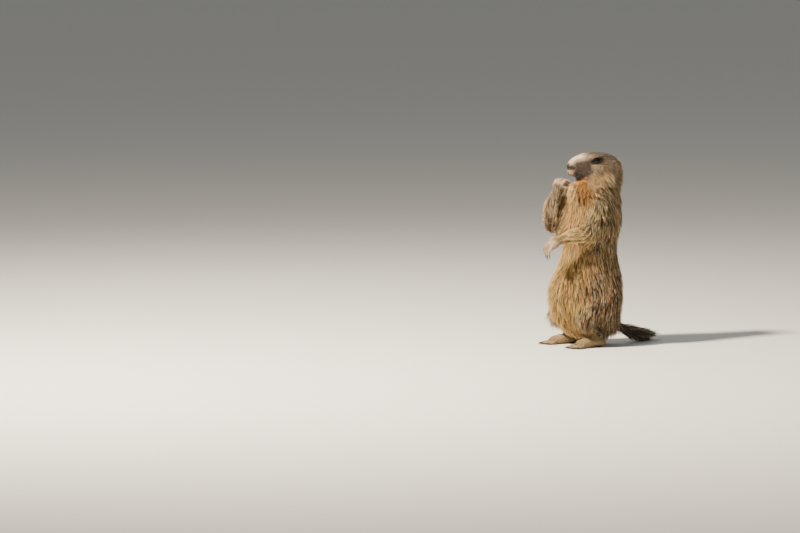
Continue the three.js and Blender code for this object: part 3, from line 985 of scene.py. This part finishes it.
@dataclass
class Roots(Rows):
    """The tufts' roots, with everything that a tuft takes from the skin below it."""

    points: Array
    normals: Array
    lie: Array
    depth: Array
    length: Array
    gather: Array
    tips: Array
    wool: Array
    grizzle: Array
    place: Array
    owner: Array


@dataclass
class Growth(Rows):
    """The tufts' own course: their lie, how far they run and rise, their thickness and colours."""

    lie: Array
    beside: Array
    run: Array
    rise: Array
    shift: Array
    radius: Array
    base: Array
    middle: Array
    tip: Array


@dataclass
class Pelt:
    """The coat: solid tufts that lie along the body, gathered in locks."""

    skin: Skin
    budget: int = 1_440_000
    quick_share: int = 6
    guard_share: float = 0.6
    dark_share: float = 0.32
    pale_share: float = 0.34
    body_lock: float = 11 * MM
    face_lock: float = 3.4 * MM
    long_from: float = 12 * MM
    patch: float = 0.003
    widest_patch: float = 0.03
    sides: int = 3
    root_sink: float = 0.8 * MM
    over_floor: float = 0.8 * MM
    flatness: float = 0.6
    steepest: float = 0.85
    coat_split: float = 0.17
    face_end: float = 62.0

    def build(self) -> list[bpy.types.Object]:
        """Builds every piece of the coat.

        Returns:
            The finished objects.
        """
        rng = np.random.default_rng(SEED)
        budget = self.budget
        roots = self._roots(rng, budget)
        guard = rng.random(len(roots.points)) < self.guard_share
        pieces = []
        material = MarmotFur().material()
        for name, mask in self._pieces(roots):
            chosen = roots.chosen(mask)
            points, triangles, colours, places = self._tufts(chosen, guard[mask], rng)
            mesh = mesh_from_arrays(name, points, triangles)
            paint(mesh, colours)
            layer = mesh.uv_layers.new(name="OFBake")
            layer.data.foreach_set("uv", places.astype(np.float32).ravel())
            log.info("%s: %d tufts, %d triangles", name, mask.sum(), len(triangles))
            pieces.append(new_object(name, mesh, material))
        return pieces

    def _stations(self, long_hair: bool) -> Array:
        """Returns where a tuft has its rings, from root to tip."""
        return np.array([0.0, 0.34, 0.7, 1.0] if long_hair else [0.0, 0.5, 1.0])

    def _triangles_per_tuft(self, long_hair: bool) -> int:
        """Returns how many triangles one tuft has, with its closed root."""
        rings = len(self._stations(long_hair)) - 1
        return (rings - 1) * self.sides * 2 + self.sides + 1

    def _roots(self, rng: np.random.Generator, budget: int) -> Roots:
        """Scatters roots over the skin, closer together where the hair is short.

        Args:
            rng: the source of chance.
            budget: the number of triangles for the whole coat.

        Returns:
            The roots.
        """
        skin = self.skin
        surface = skin.surface
        normals = surface.normals()
        lie = Flow(skin).directions()
        length = skin._by_part("length") * MM * np.clip(skin.growth * 1.15, 0, 1.1)
        bald = np.maximum(smooth(skin.markings.eye_ring(), 0.7, 0.56), 0.8 * skin.markings.lips())
        soles = smooth(normals[:, 2], -0.5, -0.85) * smooth(surface.points[:, 2] / MM, 5, 2)
        spacing = 0.5 + 0.052 * length / MM
        wanted = (1 - bald) * (1 - soles) * self._reach_of_floor(surface.points) / (spacing * MM) ** 2
        corners = surface.triangles
        areas = surface.areas()
        expected = areas * wanted[corners].mean(axis=1)
        long_share = (length[corners].mean(axis=1) > self.long_from) * self.guard_share
        extra = self._triangles_per_tuft(True) - self._triangles_per_tuft(False)
        cost = self._triangles_per_tuft(False) + extra * long_share
        scale = budget / (expected * cost).sum()
        total = int((expected * scale).sum())
        faces = np.sort(rng.choice(len(areas), total, p=expected / expected.sum()))
        shares = rng.random((total, 3)) + 0.02
        shares = -np.log(shares / shares.max(axis=1, keepdims=True) * 0.98)
        shares /= shares.sum(axis=1, keepdims=True)
        log.info("skin area %.4f m2, %d tufts, scale %.2f", areas.sum(), total, scale)

        def at_root(values: Array) -> Array:
            """Returns a value of the skin at each root."""
            return np.einsum("ij,ij...->i...", shares, values[corners[faces]])

        places = Unwrap(skin).places()[corners[faces]]
        spread = np.ptp(places, axis=1).max(axis=1)
        place = np.einsum("ij,ijk->ik", shares, places)
        place = np.where((spread > self.widest_patch)[:, None], places[:, 0], place)
        return Roots(
            points=at_root(surface.points),
            normals=unit(at_root(normals)),
            lie=unit(at_root(lie)),
            depth=at_root(skin.depth),
            length=at_root(length),
            gather=at_root(skin._by_part("gather")),
            tips=at_root(skin.markings.tips),
            wool=at_root(skin.markings.wool),
            grizzle=at_root(skin.markings.grizzle),
            place=place,
            owner=skin.weights[corners[faces, 0]].argmax(axis=1),
        )

    @staticmethod
    def _reach_of_floor(points: Array) -> Array:
        """Returns 0 where the skin all but touches the floor, so that no tuft starts below it."""
        return smooth(points[:, 2] / MM, 0.6, 2.0)

    def _pieces(self, roots: Roots) -> Iterable[tuple[str, Array]]:
        """Splits the coat where it is out of sight or at a part's edge.

        Args:
            roots: all the roots.

        Returns:
            Each piece's name and the mask of its roots.
        """
        part = np.array([part_of(FLESH[owner]).value for owner in roots.owner])
        side = np.where(roots.points[:, 0] > 0, "left", "right")
        face = np.where(roots.normals[:, 1] < 0, "front", "back")
        level = np.where(roots.points[:, 2] > self.coat_split, "upper", "lower")
        head_side = np.where((roots.points - HEAD.nose) @ HEAD.left > 0, "left", "right")
        head_end = np.where(HEAD.measure(roots.points)[0] < self.face_end, "face", "nape")
        groups = {
            (Part.TRUNK,): ("coat", (level, face, side)),
            (Part.HEAD, Part.EAR): ("coat", (head_end, head_side)),
            (Part.NECK,): ("coat_neck", (face,)),
            (Part.UPPER_ARM, Part.FOREARM, Part.HAND): ("coat_arm", (side,)),
            (Part.THIGH, Part.SHANK, Part.FOOT): ("coat_leg", (side,)),
        }
        labels = np.array(["coat_tail"] * len(part), dtype="U40")
        for members, (stem, columns) in groups.items():
            mask = np.isin(part, [member.value for member in members])
            words = zip(*(column[mask] for column in columns))
            labels[mask] = ["_".join((stem, *row)) for row in words]
        return [(str(name), labels == name) for name in sorted(set(labels))]

    def _locks(self, roots: Roots, tips: Array, rng: np.random.Generator) -> tuple[Array, Array]:
        """Gathers the tips towards the middles of their locks.

        Args:
            roots: the roots of one piece.
            tips: their tips before gathering.
            rng: the source of chance.

        Returns:
            One shift for each tip, and how light its lock is.
        """
        spacing = np.where(roots.length > self.long_from, self.body_lock, self.face_lock)
        jitter = rng.normal(0, 0.1, roots.points.shape)
        cells = np.floor(roots.points / spacing[:, None] * 1.15 + jitter + 1000).astype(np.int64)
        keys = (cells[:, 0] * 4001 + cells[:, 1]) * 4001 + cells[:, 2]
        _, first = np.unique(keys, return_index=True)
        centres = KDTree(len(first))
        for number, index in enumerate(first):
            centres.insert(roots.points[index].tolist(), number)
        centres.balance()
        nearest = np.array([centres.find(point)[1] for point in roots.points.tolist()])
        count = np.maximum(np.bincount(nearest, minlength=len(first)), 1)
        middle = np.stack([np.bincount(nearest, column, len(first)) / count for column in tips.T], 1)
        stretch = rng.uniform(0.5, 1.2, len(first))[nearest]
        light = 1 + rng.uniform(-1, 1, len(first))[nearest] * (0.24 + 0.36 * roots.grizzle)
        return (middle[nearest] - tips) * (roots.gather * np.clip(stretch, 0, 1))[:, None], light

    def _tufts(self, roots: Roots, guard: Array, rng: np.random.Generator) -> tuple[Array, ...]:
        """Makes the tufts of one piece, long and short hair in turn.

        Args:
            roots: the roots of the piece.
            guard: which of them grow guard hair and not wool.
            rng: the source of chance.

        Returns:
            Vertices, triangles, a colour for each vertex and a place on the unwrap for each corner.
        """
        count = len(roots.points)
        reach = roots.length * rng.uniform(0.72, 1.18, count) * np.where(guard, 1, 0.6)
        rise = roots.depth * rng.uniform(0.45, 1.0, count) * np.where(guard, 1, 0.62)
        rise = np.minimum(rise, reach * self.steepest)
        run = np.sqrt(reach**2 - rise**2)
        stray = rng.normal(0, 0.13, count) + 0.16 * self._waves(roots.points)
        beside = np.cross(roots.normals, roots.lie)
        lie = unit(roots.lie + beside * stray[:, None])
        tips = roots.points + lie * run[:, None] + roots.normals * rise[:, None]
        shift, light = self._locks(roots, tips, rng)
        colours = self._hair_colours(roots, guard, light, rng)
        radius = (0.16 + 0.0095 * reach / MM) * MM * np.where(guard, 1, 1.25)
        growth = Growth(lie, beside, run, rise, shift, radius, *colours)
        groups = []
        for long_hair in (True, False):
            mask = (guard & (roots.length > self.long_from)) == long_hair
            if mask.any():
                steps = self._stations(long_hair)
                groups.append(self._blades(steps, roots.chosen(mask), growth.chosen(mask)))
        return self._joined(groups)

    @staticmethod
    def _waves(points: Array) -> Array:
        """Returns a slow waviness from -1 to 1, which turns neighbouring tufts the same way."""
        x, y, z = (points / MM).T
        return np.sin(x / 9 + np.sin(z / 17) * 2) * np.cos(z / 13 + y / 11) + 0.5 * np.sin(z / 5 + x / 4)

    def _hair_colours(
        self, roots: Roots, guard: Array, lock_light: Array, rng: np.random.Generator
    ) -> tuple[Array, Array, Array]:
        """Returns each tuft's colours at its root, its middle and its tip.

        Args:
            roots: the roots.
            guard: which of them grow guard hair.
            lock_light: how light the lock of each is.
            rng: the source of chance.

        Returns:
            Three sets of colours.
        """
        count = len(roots.points)
        light = rng.uniform(0.75, 1.25, (count, 1)) * lock_light[:, None]
        kind = rng.random(count)
        tips = roots.tips * light
        dark = kind < self.dark_share * roots.grizzle
        pale = kind > 1 - self.pale_share * roots.grizzle
        tips = np.where(dark[:, None], Markings.dark_hair * light * 1.2, tips)
        tips = np.where(pale[:, None], mix(tips, Markings.pale_tip, 0.7), tips)
        tips = np.where(guard[:, None], tips, mix(roots.wool * light, tips, 0.3))
        short = smooth(roots.length / MM, 14, 5)
        base = mix(roots.wool * light * 0.8, tips, 0.65 * short)
        middle = mix(base, tips, 0.34)
        return base, middle, np.clip(tips, 0, 0.95)

    def _blades(self, steps: Array, roots: Roots, growth: Growth) -> tuple[Array, ...]:
        """Makes all tufts with the same number of rings.

        Args:
            steps: where the rings stand, from 0 at the root to 1 at the tip.
            roots: the tufts' roots.
            growth: the tufts' course.

        Returns:
            Vertices, triangles, colours and places, as _tufts gives them.
        """
        rings = []
        shades = []
        for step in steps:
            height = growth.rise * (1.5 * step - 0.5 * step * step) - self.root_sink * (1 - step)
            centre = roots.points + growth.lie * (growth.run * step)[:, None]
            centre = centre + roots.normals * height[:, None]
            centre = centre + growth.shift * step**1.6
            centre[:, 2] = np.maximum(centre[:, 2], self.over_floor)
            shade = mix(growth.base, growth.middle, min(step * 2, 1.0))
            shade = mix(shade, growth.tip, max(step * 2 - 1, 0.0) ** 0.8)
            if step == 1:
                rings.append(centre[:, None])
                shades.append(shade[:, None])
                continue
            size = growth.radius * (1 - step) ** 0.55
            for side in range(self.sides):
                angle = 2 * math.pi * side / self.sides + math.pi / 2
                corner = growth.beside * math.cos(angle) + roots.normals * math.sin(angle) * self.flatness
                rings.append((centre + corner * size[:, None])[:, None])
                shades.append(shade[:, None])
        points = np.concatenate(rings, axis=1)
        colours = np.concatenate(shades, axis=1)
        pattern, places = self._pattern(steps)
        triangles = pattern[None] + (np.arange(len(points)) * points.shape[1])[:, None, None]
        spots = roots.place[:, None, :] + places[None] * self.patch
        return points.reshape(-1, 3), triangles.reshape(-1, 3), colours.reshape(-1, 3), spots.reshape(-1, 2)

    def _pattern(self, steps: Array) -> tuple[Array, Array]:
        """Returns one tuft's triangles, and each corner's place on its patch from -0.5 to 0.5."""
        triangles = []
        places = []
        tip = (len(steps) - 1) * self.sides

        def spot(ring: int, side: float) -> tuple[float, float]:
            """Returns a corner's place on the patch."""
            return side / self.sides - 0.5, steps[ring] - 0.5

        for ring in range(len(steps) - 1):
            for side in range(self.sides):
                a = ring * self.sides + side
                b = ring * self.sides + (side + 1) % self.sides
                if ring + 2 == len(steps):
                    triangles.append((a, b, tip))
                    places += [spot(ring, side), spot(ring, side + 1), spot(ring + 1, side + 0.5)]
                    continue
                c, d = b + self.sides, a + self.sides
                triangles += [(a, b, c), (a, c, d)]
                places += [spot(ring, side), spot(ring, side + 1), spot(ring + 1, side + 1)]
                places += [spot(ring, side), spot(ring + 1, side + 1), spot(ring + 1, side)]
        triangles.append((2, 1, 0))
        places += [(-0.5, -0.5), (0.5, -0.5), (0.0, -0.3)]
        return np.array(triangles), np.array(places)

    @staticmethod
    def _joined(groups: list) -> tuple[Array, ...]:
        """Joins groups of tufts to one set of arrays."""
        start = 0
        shifted = []
        for points, triangles, _, _ in groups:
            shifted.append(triangles + start)
            start += len(points)
        points, _, colours, places = (np.concatenate(column) for column in zip(*groups))
        return points, np.concatenate(shifted), colours, places


class Finish:
    """A finish: a node material built from a few settings."""

    name: str

    def material(self) -> bpy.types.Material:
        """Returns the finish's material, made once."""
        made = bpy.data.materials.get(self.name)
        if made:
            return made
        made = bpy.data.materials.new(self.name)
        made.use_nodes = True
        tree = made.node_tree
        self.dress(tree, tree.nodes["Principled BSDF"])
        return made

    def dress(self, tree: bpy.types.NodeTree, shader: bpy.types.Node) -> None:
        """Sets up the shader. Each finish has its own way."""
        raise NotImplementedError


def add_node(
    tree: bpy.types.NodeTree, kind: str, settings: dict, links: dict | None = None
) -> bpy.types.Node:
    """Adds a node with its settings and links.

    Args:
        tree: the material's nodes.
        kind: the node's type.
        settings: attributes by name, or input values by name with a leading "in:".
        links: sockets of other nodes, by this node's input.

    Returns:
        The new node.
    """
    node = tree.nodes.new(kind)
    for key, value in settings.items():
        if key.startswith("in:"):
            node.inputs[key[3:]].default_value = value
        else:
            setattr(node, key, value)
    for key, socket in (links or {}).items():
        tree.links.new(socket, node.inputs[key])
    return node


def bumped(
    tree: bpy.types.NodeTree,
    shader: bpy.types.Node,
    height: bpy.types.NodeSocket,
    strength: float,
    rise: float,
) -> None:
    """Lets a height stand out as bump.

    Args:
        tree: the material's nodes.
        shader: its shader.
        height: the socket that gives the height.
        strength: how strong the bump is, from 0 to 1.
        rise: the bump's real height in metres.
    """
    settings = {"in:Strength": strength, "in:Distance": rise}
    bump = add_node(tree, "ShaderNodeBump", settings, {"Height": height})
    tree.links.new(bump.outputs["Normal"], shader.inputs["Normal"])


def painted(tree: bpy.types.NodeTree, shader: bpy.types.Node, noise: dict, darkest: float) -> bpy.types.Node:
    """Takes the colour from the painted attribute and lets a noise change its lightness.

    Args:
        tree: the material's nodes.
        shader: its shader.
        noise: the noise's settings.
        darkest: the lightness where the noise is lowest.

    Returns:
        The noise.
    """
    colour = add_node(tree, "ShaderNodeAttribute", {"attribute_name": FUR_COLOUR})
    place = add_node(tree, "ShaderNodeTexCoord", {})
    patches = add_node(tree, "ShaderNodeTexNoise", noise, {"Vector": place.outputs["Object"]})
    limits = {"in:From Min": 0.3, "in:From Max": 0.7, "in:To Min": darkest, "in:To Max": 1.2}
    drift = add_node(tree, "ShaderNodeMapRange", limits, {"Value": patches.outputs["Fac"]})
    sources = {0: colour.outputs["Color"], "Scale": drift.outputs["Result"]}
    tinted = add_node(tree, "ShaderNodeVectorMath", {"operation": "SCALE"}, sources)
    tree.links.new(tinted.outputs["Vector"], shader.inputs["Base Color"])
    return patches


@dataclass(frozen=True)
class MarmotFur(Finish):
    """Coarse, dry guard hair: painted hair by hair, with a soft sheen and no mirror gloss."""

    name: str = "grizzled marmot fur"
    patch: float = 22 * MM
    darkest: float = 0.78
    roughness: float = 0.62

    def dress(self, tree: bpy.types.NodeTree, shader: bpy.types.Node) -> None:
        """Lets patches of a few centimetres drift in lightness."""
        noise = {"in:Scale": 1 / self.patch, "in:Detail": 3.0, "in:Roughness": 0.6}
        painted(tree, shader, noise, self.darkest)
        shader.inputs["Roughness"].default_value = self.roughness
        shader.inputs["Specular IOR Level"].default_value = 0.28
        shader.inputs["Sheen Weight"].default_value = 0.08
        shader.inputs["Sheen Roughness"].default_value = 0.5


@dataclass(frozen=True)
class FurredSkin(Finish):
    """Thin skin under the coat, with a nap of very short hair that reads as a fine grain."""

    name: str = "short-napped skin"
    grain: float = 0.9 * MM
    darkest: float = 0.7
    nap_height: float = 0.3 * MM

    def dress(self, tree: bpy.types.NodeTree, shader: bpy.types.Node) -> None:
        """Adds the nap as bump and as a slight change of lightness."""
        nap = painted(tree, shader, {"in:Scale": 1 / self.grain, "in:Detail": 2.0}, self.darkest)
        bumped(tree, shader, nap.outputs["Fac"], 0.5, self.nap_height)
        shader.inputs["Roughness"].default_value = 0.8
        shader.inputs["Specular IOR Level"].default_value = 0.25


@dataclass(frozen=True)
class PlainFinish(Finish):
    """An even finish, such as horn or a cornea."""

    name: str
    colour: str
    roughness: float
    gloss: float = 0.5

    def dress(self, tree: bpy.types.NodeTree, shader: bpy.types.Node) -> None:
        """Sets the colour and the gloss."""
        shader.inputs["Base Color"].default_value = (*linear(self.colour), 1)
        shader.inputs["Roughness"].default_value = self.roughness
        shader.inputs["Specular IOR Level"].default_value = self.gloss


# The cornea over a nearly black brown iris: a sharp small highlight in a dark bead
EYE = PlainFinish("dark glass eye", "#060403", 0.06, 0.22)
# Claws of worn horn, dark and half glossy
HORN = PlainFinish("worn dark horn", "#2c231d", 0.36)
# Whiskers, stiff and black
WHISKER = PlainFinish("black whisker", "#15100d", 0.4)
# The floor of a studio, matt and pale
FLOOR = PlainFinish("pale matt floor", "#dcdad4", 0.9)


@dataclass(frozen=True)
class NoseLeather(Finish):
    """The bare nose pad: dark, fine-grained and a little moist."""

    name: str = "moist nose leather"
    grain: float = 0.7 * MM

    def dress(self, tree: bpy.types.NodeTree, shader: bpy.types.Node) -> None:
        """Gives the pad its pebbled grain."""
        place = add_node(tree, "ShaderNodeTexCoord", {})
        source = {"Vector": place.outputs["Object"]}
        pebbles = add_node(tree, "ShaderNodeTexVoronoi", {"in:Scale": 1 / self.grain}, source)
        bumped(tree, shader, pebbles.outputs["Distance"], 0.4, 0.15 * MM)
        shader.inputs["Base Color"].default_value = (*linear("#17110f"), 1)
        shader.inputs["Roughness"].default_value = 0.5
        shader.inputs["Specular IOR Level"].default_value = 0.3


def swept(bm: bmesh.types.BMesh, points: list[Vector], radii: list[float], segments: int) -> None:
    """Sweeps a closed, tapered rod along points.

    Args:
        bm: the mesh that takes it.
        points: the middle line.
        radii: the radius at each point.
        segments: how many sides it has.
    """
    loops = []
    for index, (point, radius) in enumerate(zip(points, radii)):
        before = points[max(index - 1, 0)]
        after = points[min(index + 1, len(points) - 1)]
        turn = (after - before).to_track_quat("Z", "Y").to_matrix().to_4x4()
        cap = index in (0, len(points) - 1)
        made = bmesh.ops.create_circle(
            bm, cap_ends=cap, segments=segments, radius=radius, matrix=Matrix.Translation(point) @ turn
        )
        loops.append(list({edge for vertex in made["verts"] for edge in vertex.link_edges}))
    for first, second in zip(loops, loops[1:]):
        bmesh.ops.bridge_loops(bm, edges=first + second)
    bmesh.ops.recalc_face_normals(bm, faces=bm.faces)


def finished(name: str, bm: bmesh.types.BMesh, finish: Finish) -> bpy.types.Object:
    """Turns a bmesh into a smooth-shaded piece.

    Args:
        name: the piece's name.
        bm: its shape, which is freed.
        finish: its finish.

    Returns:
        The new object.
    """
    mesh = bpy.data.meshes.new(name)
    for face in bm.faces:
        face.smooth = True
    bm.to_mesh(mesh)
    bm.free()
    return new_object(name, mesh, finish.material())


@dataclass
class Eye:
    """One eyeball."""

    side: str
    segments: int = 48

    def build(self) -> bpy.types.Object:
        """Builds the eyeball with its pole towards what it looks at."""
        bm = bmesh.new()
        axis = Vector(HEAD.eye_axis(self.side)).to_track_quat("Z", "Y").to_matrix().to_4x4()
        place = Matrix.Translation(Vector(HEAD.eyes[self.side])) @ axis
        rings = self.segments // 2
        radius = HEAD.eye_radius
        bmesh.ops.create_uvsphere(bm, u_segments=self.segments, v_segments=rings, radius=radius, matrix=place)
        return finished(f"eyeball_{self.side}", bm, EYE)


@dataclass
class Nose:
    """The nose pad with its comma-shaped nostrils."""

    half_width: float = 8.2 * MM
    half_depth: float = 5.0 * MM
    half_height: float = 6.3 * MM
    nostril_depth: float = 3.4 * MM

    def build(self) -> bpy.types.Object:
        """Builds the pad over the CAD nose."""
        bm = bmesh.new()
        axes = Matrix((Vector(HEAD.left), Vector(-HEAD.ahead), Vector(HEAD.up))).transposed().to_4x4()
        scale = Matrix.Diagonal((self.half_width, self.half_depth, self.half_height, 1))
        bmesh.ops.create_icosphere(bm, subdivisions=5, radius=1)
        for vertex in bm.verts:
            self._press(vertex)
        bmesh.ops.transform(bm, matrix=Matrix.Translation(Vector(HEAD.nose)) @ axes @ scale, verts=bm.verts)
        return finished("nose_pad", bm, NoseLeather())

    def _press(self, vertex: bmesh.types.BMVert) -> None:
        """Presses the nostrils and the groove between them into a unit sphere."""
        x, y, z = vertex.co
        if y > 0.5:
            return
        curl = 0.2 * math.cos(3 * abs(x))
        hole = math.exp(-(((abs(x) - 0.68) / 0.2) ** 2) - ((z + 0.08 - curl) / 0.2) ** 2)
        groove = math.exp(-((x / 0.07) ** 2)) * (0.6 if z < 0.4 else 0.2)
        vertex.co.y += hole * self.nostril_depth / self.half_depth + groove * 0.12
        vertex.co.x *= 1 - 0.3 * hole
        vertex.co.x *= 1 - 0.3 * max(0.0, -z)
        vertex.co.z *= 1 - 0.16 * max(0.0, z)


@dataclass
class Claws:
    """The claws of one hand or foot, curved and tapered over the CAD claws."""

    row: list[str]
    sag: float = 1.2 * MM
    segments: int = 10

    def build(self) -> bpy.types.Object:
        """Builds all the claws as one piece."""
        bm = bmesh.new()
        hump = Vector((0, 0, self.sag))
        for node in self.row:
            root, tip, radius = measured_claw(node)
            steps = [0, 0.2, 0.4, 0.6, 0.8, 0.92, 1]
            points = [Vector(root).lerp(Vector(tip), t) + hump * (4 * t * (1 - t)) for t in steps]
            radii = [radius * (1 - 0.9 * t**1.6) for t in steps]
            swept(bm, points, radii, self.segments)
        for vertex in bm.verts:
            vertex.co.z = max(vertex.co.z, 0.0)
        return finished(self.row[0].removesuffix("_1").replace("claw", "claws"), bm, HORN)


@dataclass
class Whiskers:
    """Stiff hairs on the whisker pads and over the eyes."""

    skin: Skin
    rows: int = 4
    columns: int = 5
    longest: float = 44 * MM
    radius: float = 0.24 * MM

    def build(self) -> bpy.types.Object:
        """Builds the whiskers of both sides as one piece."""
        rng = np.random.default_rng(SEED + 1)
        tree = self.skin.surface.tree()
        bm = bmesh.new()
        for sign in (1, -1):
            for row in range(self.rows):
                for column in range(self.columns):
                    behind = 8 + 2.6 * column + rng.uniform(-0.5, 0.5)
                    height = 363 - 3.1 * row - 0.4 * column + rng.uniform(-0.5, 0.5)
                    length = self.longest * (0.45 + 0.13 * column) * rng.uniform(0.8, 1.05)
                    self._whisker(bm, tree, sign, behind, height, length, 0.12 - 0.13 * row)
            for column in range(3):
                self._whisker(bm, tree, sign, 44 + 4 * column, 391 + column * 0.5, 14 * MM, 0.6)
        return finished("whiskers", bm, WHISKER)

    def _whisker(
        self,
        bm: bmesh.types.BMesh,
        tree: BVHTree,
        sign: int,
        behind: float,
        height: float,
        length: float,
        lift: float,
    ) -> None:
        """Adds one whisker where a line from the side meets the skin.

        Args:
            bm: the mesh that takes it.
            tree: a search tree over the skin.
            sign: 1 on the left and -1 on the right.
            behind: millimetres behind the nose tip.
            height: millimetres above the floor.
            length: its length.
            lift: how far it points up.
        """
        spot = HEAD.nose + HEAD.ahead * (HEAD.pad_depth - behind * MM)
        spot[2] = height * MM
        outside = Vector(spot + HEAD.left * sign * 0.08)
        hit = tree.ray_cast(outside, Vector(-HEAD.left * sign), 0.1)[0]
        if hit is None:
            return
        aim = Vector(unit(HEAD.left * sign * 0.85 - HEAD.ahead * 0.62 + HEAD.up * lift))
        sag = Vector((0, 0, -0.18 * length))
        steps = [-0.04, 0.2, 0.4, 0.6, 0.8, 1]
        back = Vector(-HEAD.ahead * 0.22 * length)
        points = [hit + aim * (t * length) + (sag + back) * max(t, 0) ** 2 for t in steps]
        radii = [self.radius * (1 - 0.82 * max(t, 0)) for t in steps]
        swept(bm, points, radii, 4)


@dataclass
class Studio:
    """A pale floor, soft light from the upper left, and the camera at the photograph's place."""

    lens: float = 250.0
    sensor: float = 36.0
    floor_size: float = 200.0
    sky_strength: float = 0.3

    def build(self) -> None:
        """Adds the floor, the lights and the camera."""
        bm = bmesh.new()
        bmesh.ops.create_grid(bm, x_segments=1, y_segments=1, size=self.floor_size / 2)
        floor = finished("studio_floor", bm, FLOOR)
        self._camera()
        self._lights()

    def _axes(self) -> tuple[Vector, Vector, Vector]:
        """Returns the way to the camera, the picture's right and its up."""
        azimuth = math.radians(CAMERA_AZIMUTH)
        elevation = math.radians(CAMERA_ELEVATION)
        level = Vector((math.sin(azimuth), -math.cos(azimuth), 0))
        toward = level * math.cos(elevation) + Vector((0, 0, math.sin(elevation)))
        right = Vector((math.cos(azimuth), math.sin(azimuth), 0))
        return toward, right, toward.cross(right)

    def _camera(self) -> None:
        """Aims the camera so that the nose stands at its place in the photograph."""
        toward, right, up = self._axes()
        width, height = PHOTO_SIZE
        distance = PIXEL_SIZE * width * self.lens / self.sensor
        shift_right = (width / 2 - NOSE_PIXEL[0]) * PIXEL_SIZE
        shift_up = (NOSE_PIXEL[1] - height / 2) * PIXEL_SIZE
        target = Vector(HEAD.nose) + right * shift_right + up * shift_up
        data = bpy.data.cameras.new("camera")
        data.lens = self.lens
        data.sensor_width = self.sensor
        data.clip_end = 100
        camera = bpy.data.objects.new("camera", data)
        camera.location = target + toward * distance
        camera.rotation_euler = toward.to_track_quat("Z", "Y").to_euler()
        bpy.context.scene.collection.objects.link(camera)
        bpy.context.scene.camera = camera

    def _lights(self) -> None:
        """Adds a warm key from the upper left, a weak fill from the right and an even sky."""
        toward, right, _ = self._axes()
        up = Vector((0, 0, 1))
        middle = Vector((0, 0, 0.22))
        lamps = {
            "key": (toward * 1.1 - right * 1.6 + up * 1.8, 300, 0.3, "#fff2dc"),
            "fill": (toward * 2.2 + right * 1.8 + up * 0.7, 8, 2.0, "#eef3ff"),
            "back": (-toward * 1.6 - right * 0.9 + up * 1.7, 16, 1.0, "#fff7ea"),
        }
        for name, (offset, power, size, colour) in lamps.items():
            data = bpy.data.lights.new(name, "AREA")
            data.energy = power
            data.size = size
            data.color = linear(colour)
            lamp = bpy.data.objects.new(name, data)
            lamp.location = middle + offset
            lamp.rotation_euler = offset.to_track_quat("Z", "Y").to_euler()
            bpy.context.scene.collection.objects.link(lamp)
        world = bpy.data.worlds.new("sky")
        world.use_nodes = True
        background = world.node_tree.nodes["Background"]
        background.inputs["Color"].default_value = (*linear("#eceeee"), 1)
        background.inputs["Strength"].default_value = self.sky_strength
        bpy.context.scene.world = world


def settle(piece: bpy.types.Object, slot: str, nodes: Iterable[str] = ()) -> None:
    """Ties a piece to the body and hides the nodes that it stands for.

    Args:
        piece: the finished piece.
        slot: a material slot's name; not used.
        nodes: CAD nodes that it replaces.
    """
    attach(piece, "root")
    if nodes:
        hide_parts(*nodes)
    log.info("%s: %d faces", piece.name, len(piece.data.polygons))


def slot_of_coat(name: str) -> str:
    """Returns a slot name for a piece of the coat."""
    slots = {"face": "head_fur", "nape": "head_fur", "neck": "chest_fur", "tail": "tail_fur"}
    slots |= {"arm": "limb_fur", "leg": "limb_fur"}
    return next((slot for word, slot in slots.items() if word in name), "back_fur")


def main() -> None:
    """Builds the model piece by piece."""
    logging.basicConfig(level=logging.INFO, format="%(relativeCreated)6d ms %(message)s")
    skin = Skin()
    settle(skin.build(), "back_fur", FLESH)
    for piece in Pelt(skin).build():
        settle(piece, slot_of_coat(piece.name))
    for side in SIDES:
        settle(Eye(side).build(), "eye", [f"eye_{side}"])
    for row in CLAW_ROWS:
        settle(Claws(row).build(), "claw", row)
    settle(Nose().build(), "nose", ["nose"])
    settle(Whiskers(skin).build(), "claw")
    Studio().build()


if __name__ == "__main__":
    main()
